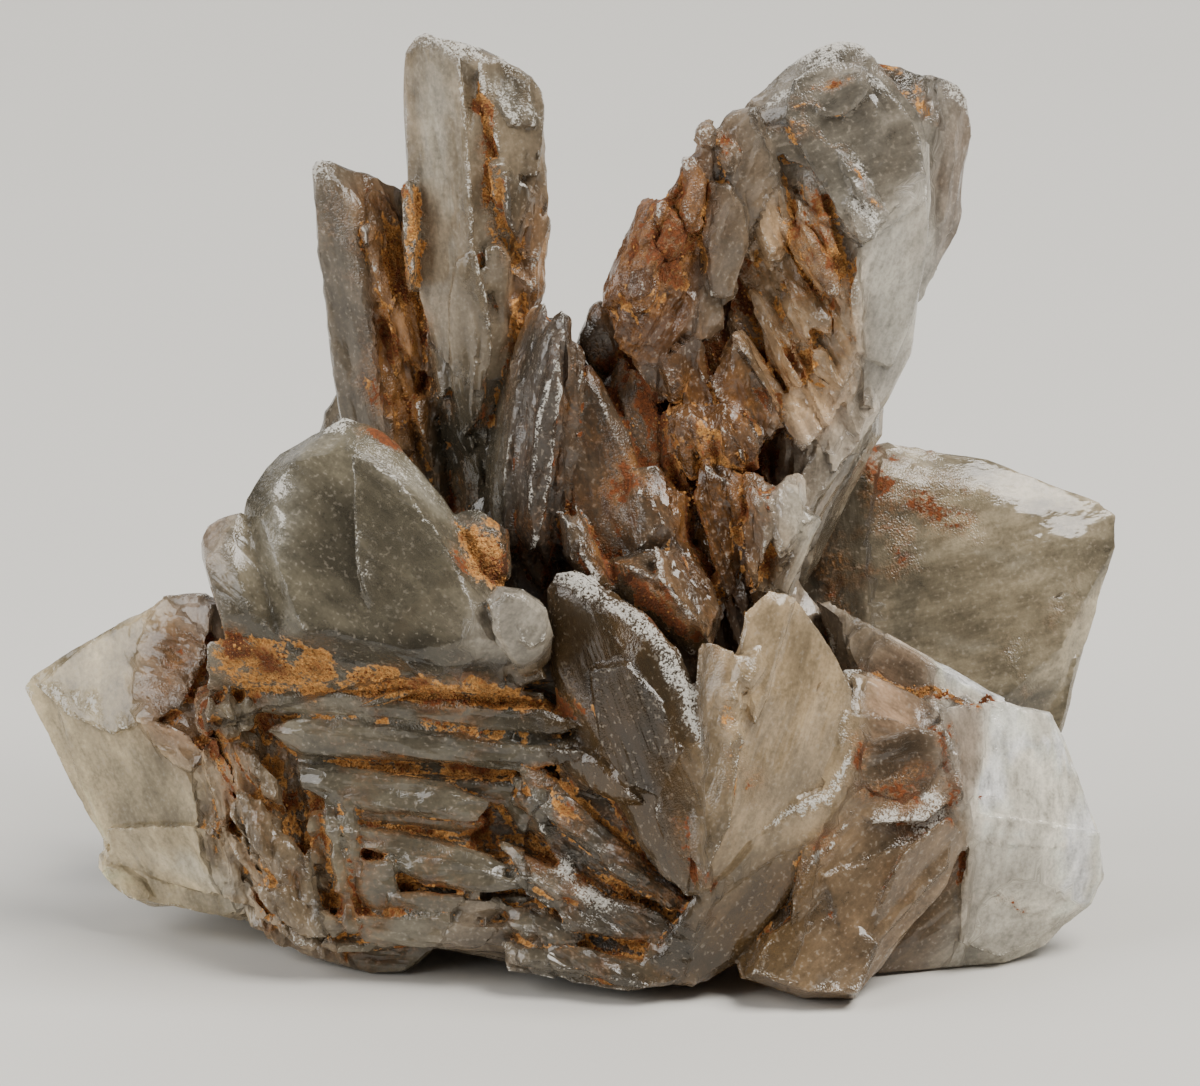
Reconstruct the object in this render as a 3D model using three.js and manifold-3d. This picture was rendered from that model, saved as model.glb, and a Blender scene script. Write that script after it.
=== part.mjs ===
// A cluster of bladed selenite crystals, grown together, in millimetres, +Z up.
//
// Every crystal is the convex solid around a rim (its thin outer edge) and a few
// crest points that stand off the rim's plane, in front and behind. Rims and crest
// points are drawn on one sheet that leans back, X to the right and H up the sheet,
// and each is carried square to the sheet onto its own crystal's plane.
// The crystals are then joined into the one solid that they are.
import * as THREE from "three";
import { ConvexGeometry } from "three/addons/geometries/ConvexGeometry.js";
import { mergeVertices } from "three/addons/utils/BufferGeometryUtils.js";
import Module from "manifold-3d";

const SHEET_LEAN = THREE.MathUtils.degToRad(18); // from upright, top going back
const RIM = 0.8; // thickness of a crystal's outer edge
const REACH = { width: 110, height: 92 }; // how far the cluster reaches, roughly
const SELENITE = { colour: 0xa39c8b, roughness: 0.35 };

const UP = new THREE.Vector3(0, Math.sin(SHEET_LEAN), Math.cos(SHEET_LEAN));
const AWAY = new THREE.Vector3(0, Math.cos(SHEET_LEAN), -Math.sin(SHEET_LEAN));

// A plane through the sheet's point `at`, `y` deep there. `turn` carries its right
// side back and `lean` its top back, in degrees. Gives the points of the plane under
// the sheet's points, `out` in front of it.
function planeOf({ at, y, turn = 0, lean = 0 }) {
  const across = Math.tan(THREE.MathUtils.degToRad(turn));
  const rise = Math.tan(THREE.MathUtils.degToRad(lean));
  const [x0, h0] = at;
  const z0 = (h0 - y * UP.y) / UP.z;
  const front = new THREE.Vector3(across, -1, rise).normalize();
  return (x, h, out = 0) => {
    const short = y + across * (x - x0) + rise * (h * UP.z - z0) - h * UP.y;
    return new THREE.Vector3(x, 0, 0)
      .addScaledVector(UP, h)
      .addScaledVector(AWAY, short / (AWAY.y - rise * AWAY.z))
      .addScaledVector(front, out);
  };
}

// The rim's points drawn in towards their middle, as a flat face `out` from the plane.
function inset(rim, { share, out, shift = [0, 0] }) {
  const middle = [0, 1].map((k) => rim.reduce((sum, p) => sum + p[k], 0) / rim.length);
  const drawnIn = (value, k) => middle[k] + (value - middle[k]) * share + shift[k];
  return rim.map(([x, h]) => [drawnIn(x, 0), drawnIn(h, 1), out]);
}

// One crystal. `front` and `back` are crest points [X, H, distance from the plane],
// or a flat face as { share, out, shift }.
function crystal({ rim, front, back, edge = RIM, at = rim[0], ...tilt }) {
  const point = planeOf({ at, ...tilt });
  const crest = (side) => (Array.isArray(side) ? side : inset(rim, side));
  const corners = rim.flatMap(([x, h]) => [point(x, h, edge / 2), point(x, h, -edge / 2)]);
  corners.push(...crest(front).map(([x, h, out]) => point(x, h, out)));
  corners.push(...crest(back).map(([x, h, out]) => point(x, h, -out)));
  return new ConvexGeometry(corners);
}

// A flat plate with bevelled edges, `thick` over its two faces and `root` more behind.
function plate({ thick, root = 0, face = 0.8, ...rest }) {
  const front = { share: face, out: thick / 2 };
  return crystal({ front, back: { share: face, out: thick / 2 + root }, ...rest });
}

// A ledge on a larger crystal's face, in that crystal's own plane: its surface rises
// from the point `low` to the point `high`, both [X, H, distance from the plane].
function ledge({ rim, low, high, foot = 1, on }) {
  const point = planeOf(on);
  const run = [high[0] - low[0], high[1] - low[1]];
  const length2 = run[0] ** 2 + run[1] ** 2;
  const surface = ([x, h]) => {
    const share = ((x - low[0]) * run[0] + (h - low[1]) * run[1]) / length2;
    return low[2] + share * (high[2] - low[2]);
  };
  const top = inset(rim, { share: 0.92, out: 0 }).map((p) => point(p[0], p[1], surface(p)));
  const base = rim.map((p) => point(p[0], p[1], foot));
  return new ConvexGeometry([...top, ...base]);
}

// The two tall crystals at the left, one behind the other's shoulder, with the ledges
// down the right flank of each.
const TALL = { at: [-12, 37.5], y: 7, turn: -12, lean: 7 };
const SHORT = { at: [-22, 50], y: 10, turn: 14, lean: 12 };

function towers() {
  return [
    crystal({
      rim: [
        [-19.3, 88.5], [-18.4, 89.7], [-17.3, 90.1], [-15, 89.3], [-10.8, 88.3], [-6.7, 85.9],
        [-6, 84], [-5.4, 77.5], [-5.1, 73], [-5.3, 66.5], [-6.5, 60], [-8, 53.5], [-9.5, 37],
        [-13, 33], [-15.5, 43], [-17.5, 61], [-19, 69.5], [-18.9, 73.5], [-19.4, 85.5],
      ],
      front: [
        [-10.3, 86.1, 3.4], [-11.9, 80.5, 5], [-12.2, 69.5, 5.6], [-10.8, 53.5, 5.2],
        [-17.5, 85.5, 2.4], [-17.8, 73.5, 2.8],
      ],
      back: [
        [-14, 85, 4], [-9, 80.5, 3.6], [-14, 60.5, 6], [-11, 43.5, 5],
      ],
      ...TALL,
    }),
    ledge({
      rim: [[-8.8, 86.9], [-6.6, 85.7], [-5.8, 81], [-8, 81.5], [-9.4, 84]],
      low: [-6.2, 84.5, 2],
      high: [-9, 83.5, 4.2],
      on: TALL,
    }),
    ledge({
      rim: [[-10, 78.5], [-8.6, 78.7], [-6, 73], [-5.9, 67.3], [-7.8, 68.9], [-9.7, 74.5]],
      low: [-6, 71.5, 1.8],
      high: [-9.7, 73.5, 5],
      on: TALL,
    }),
    ledge({
      rim: [[-10.6, 69.9], [-9.2, 70.3], [-6.2, 65], [-6.8, 60.5], [-8.8, 61.7], [-10.4, 66.5]],
      low: [-6.2, 64.5, 2],
      high: [-10.4, 65.5, 5.4],
      on: TALL,
    }),
    ledge({
      rim: [[-13.8, 67.3], [-12.2, 68], [-10.6, 60.5], [-11.4, 51.5], [-13.4, 58.5]],
      low: [-13.8, 60.5, 4],
      high: [-11.2, 60.5, 6.4],
      on: TALL,
    }),
    crystal({
      rim: [
        [-28.7, 76.3], [-28.2, 77.4], [-27.2, 77.7], [-25.4, 76.9], [-22.5, 75.7], [-19.6, 73.9],
        [-18, 63.5], [-14, 45.5], [-12.2, 36], [-18, 32.5], [-24, 42], [-26, 51.5],
        [-27.3, 60.5], [-28.4, 68], [-28.7, 73.5],
      ],
      front: [
        [-26, 73.5, 2.6], [-24.4, 62.5, 3.8], [-21.5, 48.5, 4.4], [-19.5, 70.5, 1.6],
      ],
      back: [
        [-24, 70.5, 4], [-19.5, 67.5, 4], [-20, 45.5, 6],
      ],
      ...SHORT,
    }),
    ledge({
      rim: [[-25, 71.3], [-23.4, 71.7], [-20.2, 67.3], [-19.2, 61.7], [-21.4, 63.5], [-24.2, 68]],
      low: [-19.6, 66.5, 1.4],
      high: [-24.4, 69.5, 4],
      on: SHORT,
    }),
    ledge({
      rim: [
        [-22.8, 63.5], [-20.4, 64.3], [-17.6, 56.3], [-16, 49.5], [-18.8, 51.5], [-21.8, 58.3],
      ],
      low: [-17.5, 58.5, 2.4],
      high: [-22.2, 58.5, 5],
      on: SHORT,
    }),
    ledge({
      rim: [[-20, 54], [-17.6, 55], [-14.8, 46.5], [-13.8, 39.5], [-17, 43.5]],
      low: [-14.8, 48.5, 3.4],
      high: [-19.8, 51.5, 5.6],
      on: SHORT,
    }),
    plate({
      rim: [
        [-19.7, 73.9], [-19.4, 75.2], [-18.8, 75.1], [-18.4, 69.5], [-18.8, 63.5], [-19.8, 69.5],
      ],
      thick: 3, root: 3, y: 8.4, lean: 8,
    }),
  ];
}

// The broad fan at the right: its main crystal, and the one that shows behind it.
const FAN = { at: [18, 50], y: 6, turn: -8, lean: 6 };

function rightFan() {
  const main = crystal({
    rim: [
      [19, 86.8], [21.2, 88.5], [24.3, 89.5], [26.2, 88.7], [28, 86], [31.5, 82.3], [32.5, 79.5],
      [32.9, 73.5], [32.1, 67.5], [30.8, 58.5], [27.7, 52.5], [25, 46.7], [21.2, 39.5],
      [18, 33.5], [12, 29.5], [7, 37.5], [4.5, 53.5], [6.8, 66.5], [10.3, 78.5], [13.5, 81.7],
    ],
    front: [
      [19.5, 82.5, 4], [28, 83, 4], [30.5, 74.5, 4.4], [26.2, 69.7, 6.2], [25, 65, 6.4],
      [23.8, 60.5, 6.4], [24.5, 55.5, 6], [19.5, 39.5, 5.6], [10, 60.5, 3], [12, 69.5, 3.4],
      [16, 78.5, 4],
    ],
    back: [
      [20, 80.5, 5], [28, 78.5, 5.4], [27, 60.5, 7], [18, 42.5, 6],
    ],
    ...FAN,
  });
  const behind = crystal({
    rim: [
      [27.3, 87.2], [30, 86.1], [32.5, 85.1], [35.8, 85.3], [36.8, 83.8], [36.9, 80.3],
      [35.3, 74.5], [35.5, 70.3], [33.8, 68.5], [31.8, 63.5], [27, 60], [25, 72],
    ],
    front: { share: 0.5, out: 2.2 },
    back: { share: 0.6, out: 4.5 },
    at: [33, 76], y: 13, turn: 22, lean: 8,
  });
  return [main, behind, ...fanEdge(), ...fanFace()];
}

// The blunt plates that overlap up the fan's left edge, the lowest in front.
function fanEdge() {
  const rest = { root: 2, lean: 6 };
  return [
    plate({
      rim: [
        [13.5, 81.8], [12.2, 80.4], [11.7, 78.3], [13.5, 72], [17, 66], [19, 70.5], [17.5, 78.5],
        [15.7, 82.3],
      ],
      thick: 2.6, y: 3.6, turn: 6, ...rest,
    }),
    plate({
      rim: [
        [11.2, 80.8], [10.3, 80.1], [9.8, 78.5], [10.6, 73.5], [13, 67.5], [15.2, 66.5],
        [14.8, 72], [13.3, 79.5],
      ],
      thick: 2.6, y: 3, turn: 8, ...rest,
    }),
    plate({
      rim: [
        [9.7, 77.9], [8.1, 77], [7.8, 75.3], [8.5, 69.5], [11.2, 62.5], [13.8, 63.5], [13, 70],
        [11, 77],
      ],
      thick: 2.4, y: 2.4, turn: 10, ...rest,
    }),
    plate({
      rim: [
        [7.6, 75.1], [6.7, 74.2], [6.7, 72.3], [7.2, 66.5], [10, 58.5], [12.2, 60.5], [11.2, 68],
        [9.2, 74],
      ],
      thick: 2.4, y: 1.8, turn: 12, ...rest,
    }),
    plate({
      rim: [
        [5.6, 73.9], [4.6, 72.8], [3.6, 70.3], [2.6, 67.7], [1.2, 65.5], [0.4, 63.1], [1.8, 59],
        [6, 53.5], [9.5, 57.5], [9.6, 64.5], [8.4, 69.5], [6.8, 73.2],
      ],
      thick: 2.6, y: 1.4, turn: 14, ...rest,
    }),
    plate({
      rim: [
        [4.8, 68], [3.6, 66.7], [2.8, 63.5], [4, 58.5], [7.2, 53.5], [10, 55.5], [10, 61.5],
        [8.4, 66.7], [6.4, 68.5],
      ],
      thick: 2.6, y: 0, turn: 14, ...rest,
    }),
  ];
}

// The slanting ledges on the fan's front.
function fanFace() {
  return [
    ledge({
      rim: [[19.2, 85.1], [21.5, 86.9], [26.2, 87.3], [27.4, 85.3], [25.2, 82.9], [20.2, 82.7]],
      low: [23, 87.5, 3.4],
      high: [23.8, 82.9, 5.4],
      on: FAN,
    }),
    ledge({
      rim: [
        [17.2, 81.7], [20, 82.3], [25, 81.3], [29, 78.5], [28, 75.9], [23.5, 77.5], [19, 78.5],
      ],
      low: [25, 80.5, 4.8],
      high: [22, 77, 6],
      on: FAN,
    }),
    ledge({
      rim: [[24.3, 77.9], [25.2, 78.3], [28.8, 73], [28.4, 71.1], [26.8, 70.7], [24.6, 75.5]],
      low: [27.4, 76.3, 5.4],
      high: [25.6, 72.9, 7.8],
      on: FAN,
    }),
    ledge({
      rim: [[19.8, 76.3], [21.4, 76.5], [24.6, 69], [24.2, 65.3], [22.6, 67.1], [20.2, 72.5]],
      low: [23.2, 73, 5.2],
      high: [20.8, 70, 7.6],
      on: FAN,
    }),
    ledge({
      rim: [[17.6, 71.3], [19.2, 71.7], [23.4, 64.7], [23.8, 61.1], [21.8, 62.1], [18.2, 68]],
      low: [21.5, 68.5, 4.8],
      high: [19.2, 65.5, 7.2],
      on: FAN,
    }),
    ledge({
      rim: [[15, 67.3], [16.8, 67.9], [20.4, 60.7], [21.2, 56.1], [19.2, 57.3], [15.6, 63.1]],
      low: [18.5, 64, 4.4],
      high: [16.5, 61, 6.8],
      on: FAN,
    }),
    ledge({
      rim: [[13.8, 61.7], [15.8, 62.5], [18.8, 58.5], [20, 54.1], [18.2, 53.7], [15, 56.7]],
      low: [17.5, 59.5, 4],
      high: [15.4, 56.5, 6],
      on: FAN,
    }),
    ledge({
      rim: [
        [10.2, 69.7], [11.4, 70.9], [13.8, 70.7], [15.8, 68.9], [16.5, 65.3], [15.2, 63],
        [11.6, 62.9], [9.8, 65.5],
      ],
      low: [13, 62.7, 3.8],
      high: [12.6, 70.9, 5.6],
      on: FAN,
    }),
    ledge({
      rim: [[14.5, 76.5], [16.2, 77.5], [17.2, 73.5], [16.8, 68.5], [14.8, 69.5]],
      low: [14.5, 73, 3.6],
      high: [17.2, 73, 5.8],
      on: FAN,
    }),
    ledge({
      rim: [
        [20.6, 63.9], [23.8, 61.9], [25.2, 57.3], [24.6, 54.1], [21.2, 49.5], [19, 51.5],
        [19.6, 58.5],
      ],
      low: [24.8, 60.5, 5.8],
      high: [20, 53.5, 7.4],
      on: FAN,
    }),
    ledge({
      rim: [[24.6, 54.3], [27.4, 56.3], [28, 53.5], [23.6, 45.7], [21.2, 43], [20.6, 47.3]],
      low: [27.2, 52.5, 4.2],
      high: [21.5, 47.5, 6.8],
      on: FAN,
    }),
  ];
}

// The thick, smoky lens crystal at the left, the lobe on its left end, and the
// pale blade that stands out at its right end.
function leftLens() {
  return [
    crystal({
      rim: [
        [-35, 43.5], [-33.6, 46.1], [-31.8, 48.3], [-28.2, 50.4], [-25.4, 51.9], [-21.4, 50.3],
        [-18, 46.7], [-15.4, 43.7], [-13.8, 39], [-12, 34.5], [-7.2, 29.7], [-5.5, 25.7],
        [-10, 24.3], [-20, 25.5], [-30, 27.1], [-35, 28.3], [-36, 35.5],
      ],
      front: [
        [-32.8, 41.5, 4.6], [-30, 47.3, 3.8], [-24, 48.5, 3.6], [-17.5, 43, 4.4], [-13, 35, 5],
        [-11, 29.5, 5.2], [-18, 28, 5.6], [-28.5, 30.3, 6.2],
      ],
      back: [
        [-30, 41.5, 6], [-20, 43.5, 9], [-12, 31.5, 14], [-27, 30.5, 14],
      ],
      at: [-22, 38], y: -7, turn: -8, lean: 22,
    }),
    plate({
      rim: [
        [-35.4, 42.3], [-37.4, 41.7], [-38.8, 40.8], [-39.6, 39.2], [-39.5, 37.9], [-38, 35.3],
        [-37.4, 32.3], [-36.4, 28.5], [-33.8, 28], [-30, 28.5], [-32.5, 36.5],
      ],
      thick: 7, y: -6, turn: -22, lean: 18, face: 0.5,
    }),
    plate({
      rim: [
        [-11.3, 33.5], [-10.2, 34.9], [-8, 34.7], [-6, 33.5], [-5.1, 31], [-5.5, 28.7],
        [-7.5, 27.9], [-9.2, 29], [-10, 31.3],
      ],
      thick: 7, y: -15.5, turn: 16, lean: 12, face: 0.6,
    }),
  ];
}

// The pale spear that points left, the step along its foot, the fluted lobe under
// that, and the pale blade that reaches down to the ground below the plates.
function leftSpear() {
  return [
    crystal({
      rim: [
        [-57.8, 24.7], [-57.2, 25.7], [-54, 27.8], [-48, 31.1], [-43.5, 33.8], [-39.5, 34.1],
        [-37.5, 33], [-35, 25.5], [-30, 13.5], [-30, 3.5], [-41, 4], [-49.5, 8.7], [-51.5, 12],
        [-54, 17.3],
      ],
      front: [
        [-48.8, 22.2, 2.6], [-37.5, 17.3, 5.4], [-35, 10.5, 6], [-33.8, 5.5, 5.6], [-43, 29.5, 3],
      ],
      back: [
        [-49, 22, 3.4], [-40, 26, 5], [-35, 12, 7],
      ],
      at: [-40, 17], y: 0, turn: -20, lean: 6,
    }),
    plate({
      rim: [
        [-50, 9.7], [-45, 8.9], [-38.5, 7.1], [-33.8, 4.7], [-31.5, 2.7], [-35, 1.7], [-41, 3],
        [-47, 3.9], [-49.6, 6.7],
      ],
      thick: 7.6, y: 4.4, turn: -20, lean: 6, face: 0.8,
    }),
    plate({
      rim: [
        [-50.3, 8.3], [-50.4, 6.9], [-49.6, 5.7], [-48, 4.3], [-45, 2.6], [-42.4, 2.7],
        [-44, 5.5], [-47.2, 7.9],
      ],
      thick: 5.4, y: 2.6, turn: -18, lean: 10, face: 0.6,
    }),
    crystal({
      rim: [
        [-35.6, 3.3], [-34.8, 1.3], [-31.8, -0.3], [-28.8, -2], [-22.8, -3.7], [-19.6, -3.5],
        [-17.8, -2], [-16, -0.9], [-16, 3.5], [-27, 5.5],
      ],
      front: [
        [-30, -0.3, 1.8], [-22, -1.3, 1.8], [-18, -0.5, 2],
      ],
      back: { share: 0.8, out: 3 },
      at: [-20.4, -3.6], y: -12.4, turn: -14, lean: 34,
    }),
  ];
}

// The stack of plates seen edge on, low at the left: the block that they grow from,
// the crust's ledge over them, the level plates, the slanting ones at its right, and
// the rough ground at its left with upright ones.
const STACK = { at: [-14, 12], y: -8.6, turn: -9, lean: 12 };

// A level plate from `left` to `right`, between the heights `low` and `top`, that
// stands `out` from the stack's plane; `rise` is how much higher its right end is.
function level([left, right, low, top, out, rise]) {
  const at = (share, up) => [
    left + share * (right - left),
    low + up * (top - low) + rise * (share - 0.5),
  ];
  const rim = [
    at(0, 0.5), at(0.05, 0.96), at(0.94, 1), at(1, 0.4), at(0.9, 0), at(0.06, 0.06),
  ];
  const brow = [at(0.04, 0.72), at(0.96, 0.7)].map((p) => [...p, out]);
  const chin = [at(0.06, 0.28), at(0.94, 0.3)].map((p) => [...p, out - 0.5]);
  return crystal({
    rim,
    front: [...brow, ...chin],
    back: { share: 0.9, out: 1 },
    edge: 2 * out - 2.6,
    ...STACK,
  });
}

function plateStack() {
  const block = crystal({
    rim: [
      [-36.8, 28.5], [-27, 28], [-15, 26.7], [-4, 24.5], [2, 17.5], [9, 7.5], [10, -1.5],
      [6, -3.7], [-10, -2.3], [-17, -0.5], [-27, 1], [-33.8, 7.5], [-37.5, 17],
    ],
    front: { share: 0.88, out: 3 },
    back: { share: 0.8, out: 24 },
    ...STACK,
  });
  const shelf = crystal({
    rim: [
      [-37.8, 27.3], [-35, 28.3], [-27, 27.5], [-17, 25.9], [-5.5, 24.5], [-2.5, 22.3],
      [-12, 23.3], [-22, 23.7], [-36, 24.1],
    ],
    front: [[-34, 26.3, 5.4], [-25, 25.5, 6.2], [-15, 24.7, 6.4], [-7, 23.5, 6]],
    back: { share: 0.8, out: 1 },
    edge: 9,
    ...STACK,
  });
  const levels = [
    [-36, 0, 21.7, 23.5, 6.1, -1.4],
    [-30.5, -3, 17.3, 21.8, 5.9, -0.8],
    [-15, 1.5, 19.2, 21, 6.3, -1.2],
    [-29, -7, 13.7, 17, 5.6, -0.9],
    [-26, -10.5, 11.3, 13.8, 6.4, -1],
    [-25.5, -11.5, 8.5, 11.2, 5.5, -0.5],
    [-25.5, -4, 5.6, 8.4, 6.1, -0.9],
    [-23, -5, 2.4, 5.4, 5.6, -0.4],
    [-22, -3, -0.4, 2.2, 6.2, 0.4],
  ];
  const slanted = [
    [
      [
        [-8.4, 16.9], [-5.5, 16.5], [-0.4, 12.9], [4.8, 7.3], [9, 3.7], [6, 3.9], [0, 7.7],
        [-5.5, 12.3],
      ],
      [1, 13.5, 5], [-4, 9.7, 7],
    ],
    [
      [[-4, 17.9], [-0.4, 17.9], [4, 13.5], [7.2, 7.7], [4, 9], [-1.5, 13.5]],
      [4, 15.5, 4.6], [-1.5, 12.5, 6.2],
    ],
    [
      [[-5.5, 12.3], [-2.5, 11.7], [2.2, 7.3], [5.5, 3.5], [2, 3.9], [-3, 7.9]],
      [1.5, 8.5, 5], [-3, 6.7, 7.4],
    ],
    [[[-10, 10.3], [-7, 9.7], [-2, 6.9], [0, 4.5], [-4, 4.9]], [-4, 8.5, 5], [-6.5, 5.9, 7.6]],
    [
      [[-7.2, 8.3], [-4, 7.3], [1, 5.1], [5.2, 3.1], [4, 1.3], [-2, 3.1], [-6.4, 4.9]],
      [-1, 6.5, 5.4], [-4, 3.5, 7.8],
    ],
    [
      [
        [-9.4, 3.3], [-4, 4.3], [4, 2], [10, -0.5], [9, -3.9], [4, -4.9], [1.2, -4.6],
        [-4, -2.9], [-8.6, -2.5],
      ],
      [0, 4, 4], [-1, -4, 7],
    ],
  ];
  const rough = [
    [
      [
        [-38.8, 22.3], [-35.4, 21.9], [-30.4, 18.7], [-29.4, 14.3], [-33.2, 13.5], [-36.4, 15.3],
        [-38.2, 18.5],
      ],
      [-31, 19.5, 3], [-37.5, 15.5, 5.4],
    ],
    [
      [[-36, 14.3], [-31, 14.5], [-27.8, 12.3], [-28, 6.5], [-31, 5.3], [-34.4, 8.5]],
      [-29, 13.5, 4], [-34.5, 9.5, 6],
    ],
    [
      [
        [-36.4, 14.5], [-33.8, 13.5], [-28.8, 6.9], [-26.8, 2.3], [-28.2, 1.3], [-32, 4.5],
        [-35, 9.3],
      ],
      [-30, 10.5, 4.6], [-34, 6.5, 6.6],
    ],
    [
      [[-28, 13.5], [-26.6, 13.9], [-26.2, 5.5], [-24.8, 0.5], [-26.4, 0.5], [-28.2, 6.5]],
      [-25.5, 8.5, 4.6], [-28.2, 8.5, 6.8],
    ],
    [
      [[-25.8, 13.5], [-24.4, 13.3], [-24.4, 5.5], [-23.4, 1], [-24.6, 0.9], [-25.8, 7.5]],
      [-23.2, 7.5, 4.6], [-25.8, 7.5, 6.6],
    ],
    [
      [[-39.7, 24.7], [-37, 25.3], [-34.2, 24.5], [-33.8, 21.5], [-36.4, 19.9], [-39.2, 21.1]],
      [-35, 20, 4.6], [-38.5, 24.5, 6.4],
    ],
    [
      [
        [-34.4, 5.1], [-31.5, 5.5], [-25.5, 1.3], [-19.8, -0.1], [-22, -0.9], [-28, -0.1],
        [-33.2, 2.5],
      ],
      [-27, 4, 4], [-29, -0.5, 6.6],
    ],
  ];
  return [
    block,
    shelf,
    ...levels.map(level),
    ...[...slanted, ...rough].map(([rim, low, high]) => ledge({ rim, low, high, on: STACK })),
  ];
}

// The leaf-shaped blades at the front, lowest at the middle.
function frontDiscs() {
  return [
    crystal({
      rim: [
        [-5.2, 35], [-4.4, 36.3], [-3, 36.5], [0, 34.7], [4, 32.1], [7.6, 28.5], [9.4, 24.5],
        [10.3, 19.7], [9.4, 14.5], [8, 9], [8.8, 4.3], [6, 6.7], [0, 17.3], [-3.8, 21.5],
        [-5.2, 28],
      ],
      front: [
        [-3.8, 34.3, 1.6], [-0.2, 32.3, 1.9], [4.8, 28.1, 2.1], [7.6, 22.7, 2.1], [8.4, 19.5, 2],
        [7.2, 13.5, 1.8], [1, 20, 2.6], [-3.4, 26.7, 2.2],
      ],
      back: [
        [0, 30, 2.4], [5.5, 24.5, 3.2], [7.5, 13, 2.6], [0.4, 21.5, 3],
      ],
      edge: 1.4,
      at: [3, 22], y: -15.5, turn: -28, lean: 8,
    }),
    crystal({
      rim: [
        [18.9, 33.7], [20.3, 32.3], [22, 29.5], [23.8, 26.7], [24.8, 24.5], [24.8, 19], [24, 16],
        [20, 14], [18, 11.3], [14.5, 8.5], [10.6, 5.3], [9.4, 4.7], [9.4, 8.5], [10.4, 15.5],
        [11, 20.5], [12.2, 25.5], [14.5, 30.5],
      ],
      front: [
        [18.8, 31.3, 1], [22.8, 25.5, 1.3], [23.2, 19, 1.3], [19.6, 15.3, 1.4], [13.6, 9.7, 1.8],
        [12.2, 13.5, 2.8], [13.8, 23.5, 2.8], [16, 28.5, 1.8],
      ],
      back: { share: 0.6, out: 3 },
      edge: 1,
      at: [18, 20], y: -15.6, turn: 22, lean: 10,
    }),
    crystal({
      rim: [
        [20, 15.5], [23.8, 15.1], [24.3, 13.5], [23.6, 10.7], [21.5, 7.9], [19.5, 4.9],
        [17, 1.9], [13.5, -2.5], [9, -4.8], [6.2, -4.3], [5.5, -0.5], [9, 4.5], [14, 8.5],
      ],
      front: { share: 0.6, out: 1.8, shift: [0, 0.4] },
      back: { share: 0.7, out: 5 },
      edge: 1,
      at: [6.6, -5], y: -17, turn: 16, lean: 2,
    }),
  ];
}

// The browner blade at the lower right with the ledges over its foot, the pale one
// behind it, and the thin strip that shows over both.
const BROWN = { at: [23, -6.2], y: -20.2, turn: 6, lean: 25 };

function lowerRight() {
  return [
    crystal({
      rim: [
        [24, 26.3], [26.2, 26.3], [32.5, 22.7], [35, 19.5], [36.6, 14.3], [36.8, 11.7],
        [35.5, 7.3], [30.5, 2.3], [26.6, -2.3], [25.2, -6.1], [20, -6], [13.8, -3.8], [13, -0.5],
        [20, 5.5], [23.5, 10.5],
      ],
      front: [
        [25.2, 21.9, 1.8], [33.2, 19.9, 1.8], [27, 12.3, 3], [33, 12.3, 2.4], [26.2, 3, 3],
        [22, -2.5, 2.6],
      ],
      back: { share: 0.75, out: 9 },
      ...BROWN,
    }),
    ledge({
      rim: [
        [24.6, 16.5], [28.5, 17.7], [33.5, 17.3], [35.8, 13.9], [32.5, 10.9], [27, 10.5],
        [24, 12.3],
      ],
      low: [30, 17.5, 2],
      high: [29, 10.9, 4.2],
      on: BROWN,
    }),
    ledge({
      rim: [[30.5, 19], [33.6, 20.9], [35.2, 18.5], [36.2, 13.5], [34, 12.3], [31.5, 14.5]],
      low: [30.5, 16.5, 1.6],
      high: [35.5, 16.5, 3.6],
      on: BROWN,
    }),
    ledge({
      rim: [[21.5, 5.5], [30, 8.9], [35.8, 9.7], [35, 6.9], [30.5, 2.3], [26.2, -2.3], [23, 0.5]],
      low: [32.5, 3, 2],
      high: [24, 8.5, 4],
      on: BROWN,
    }),
    ledge({
      rim: [
        [13.8, -3.8], [16, 0.1], [20, 2.7], [25, 1.5], [27.8, -0.9], [26.6, -2.9], [25.2, -6.2],
        [20, -6.1],
      ],
      low: [21, 3, 2.6],
      high: [20, -5.5, 4.6],
      on: BROWN,
    }),
    crystal({
      rim: [
        [33, 24.3], [38.5, 23.7], [44.8, 22.4], [46.4, 19.7], [48.5, 14.5], [50.3, 9.3],
        [50.6, 5.5], [49.4, 2.9], [44.5, -1], [40.5, -2.6], [35.5, -2], [31.5, -3.3], [27, -3.7],
        [26, 5.5], [27, 20.5],
      ],
      front: [
        [38.5, 20, 2.4], [44.5, 19.3, 2], [47.6, 8.5, 2.6], [43.5, 2.5, 2.8], [35, 2, 3.4],
        [34, 15.5, 4],
      ],
      back: [
        [38, 20, 5], [46, 12, 5], [40, 3, 6], [32, 12, 8],
      ],
      at: [41, -2.4], y: -8.4, turn: 18, lean: 16,
    }),
    plate({
      rim: [
        [21.2, 33.5], [23, 33.1], [27.2, 27.5], [34, 25], [40.2, 23.7], [38.5, 22.3], [30, 22.3],
        [25, 23.5],
      ],
      thick: 5, y: -1, turn: 10, lean: 14,
    }),
  ];
}

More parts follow.
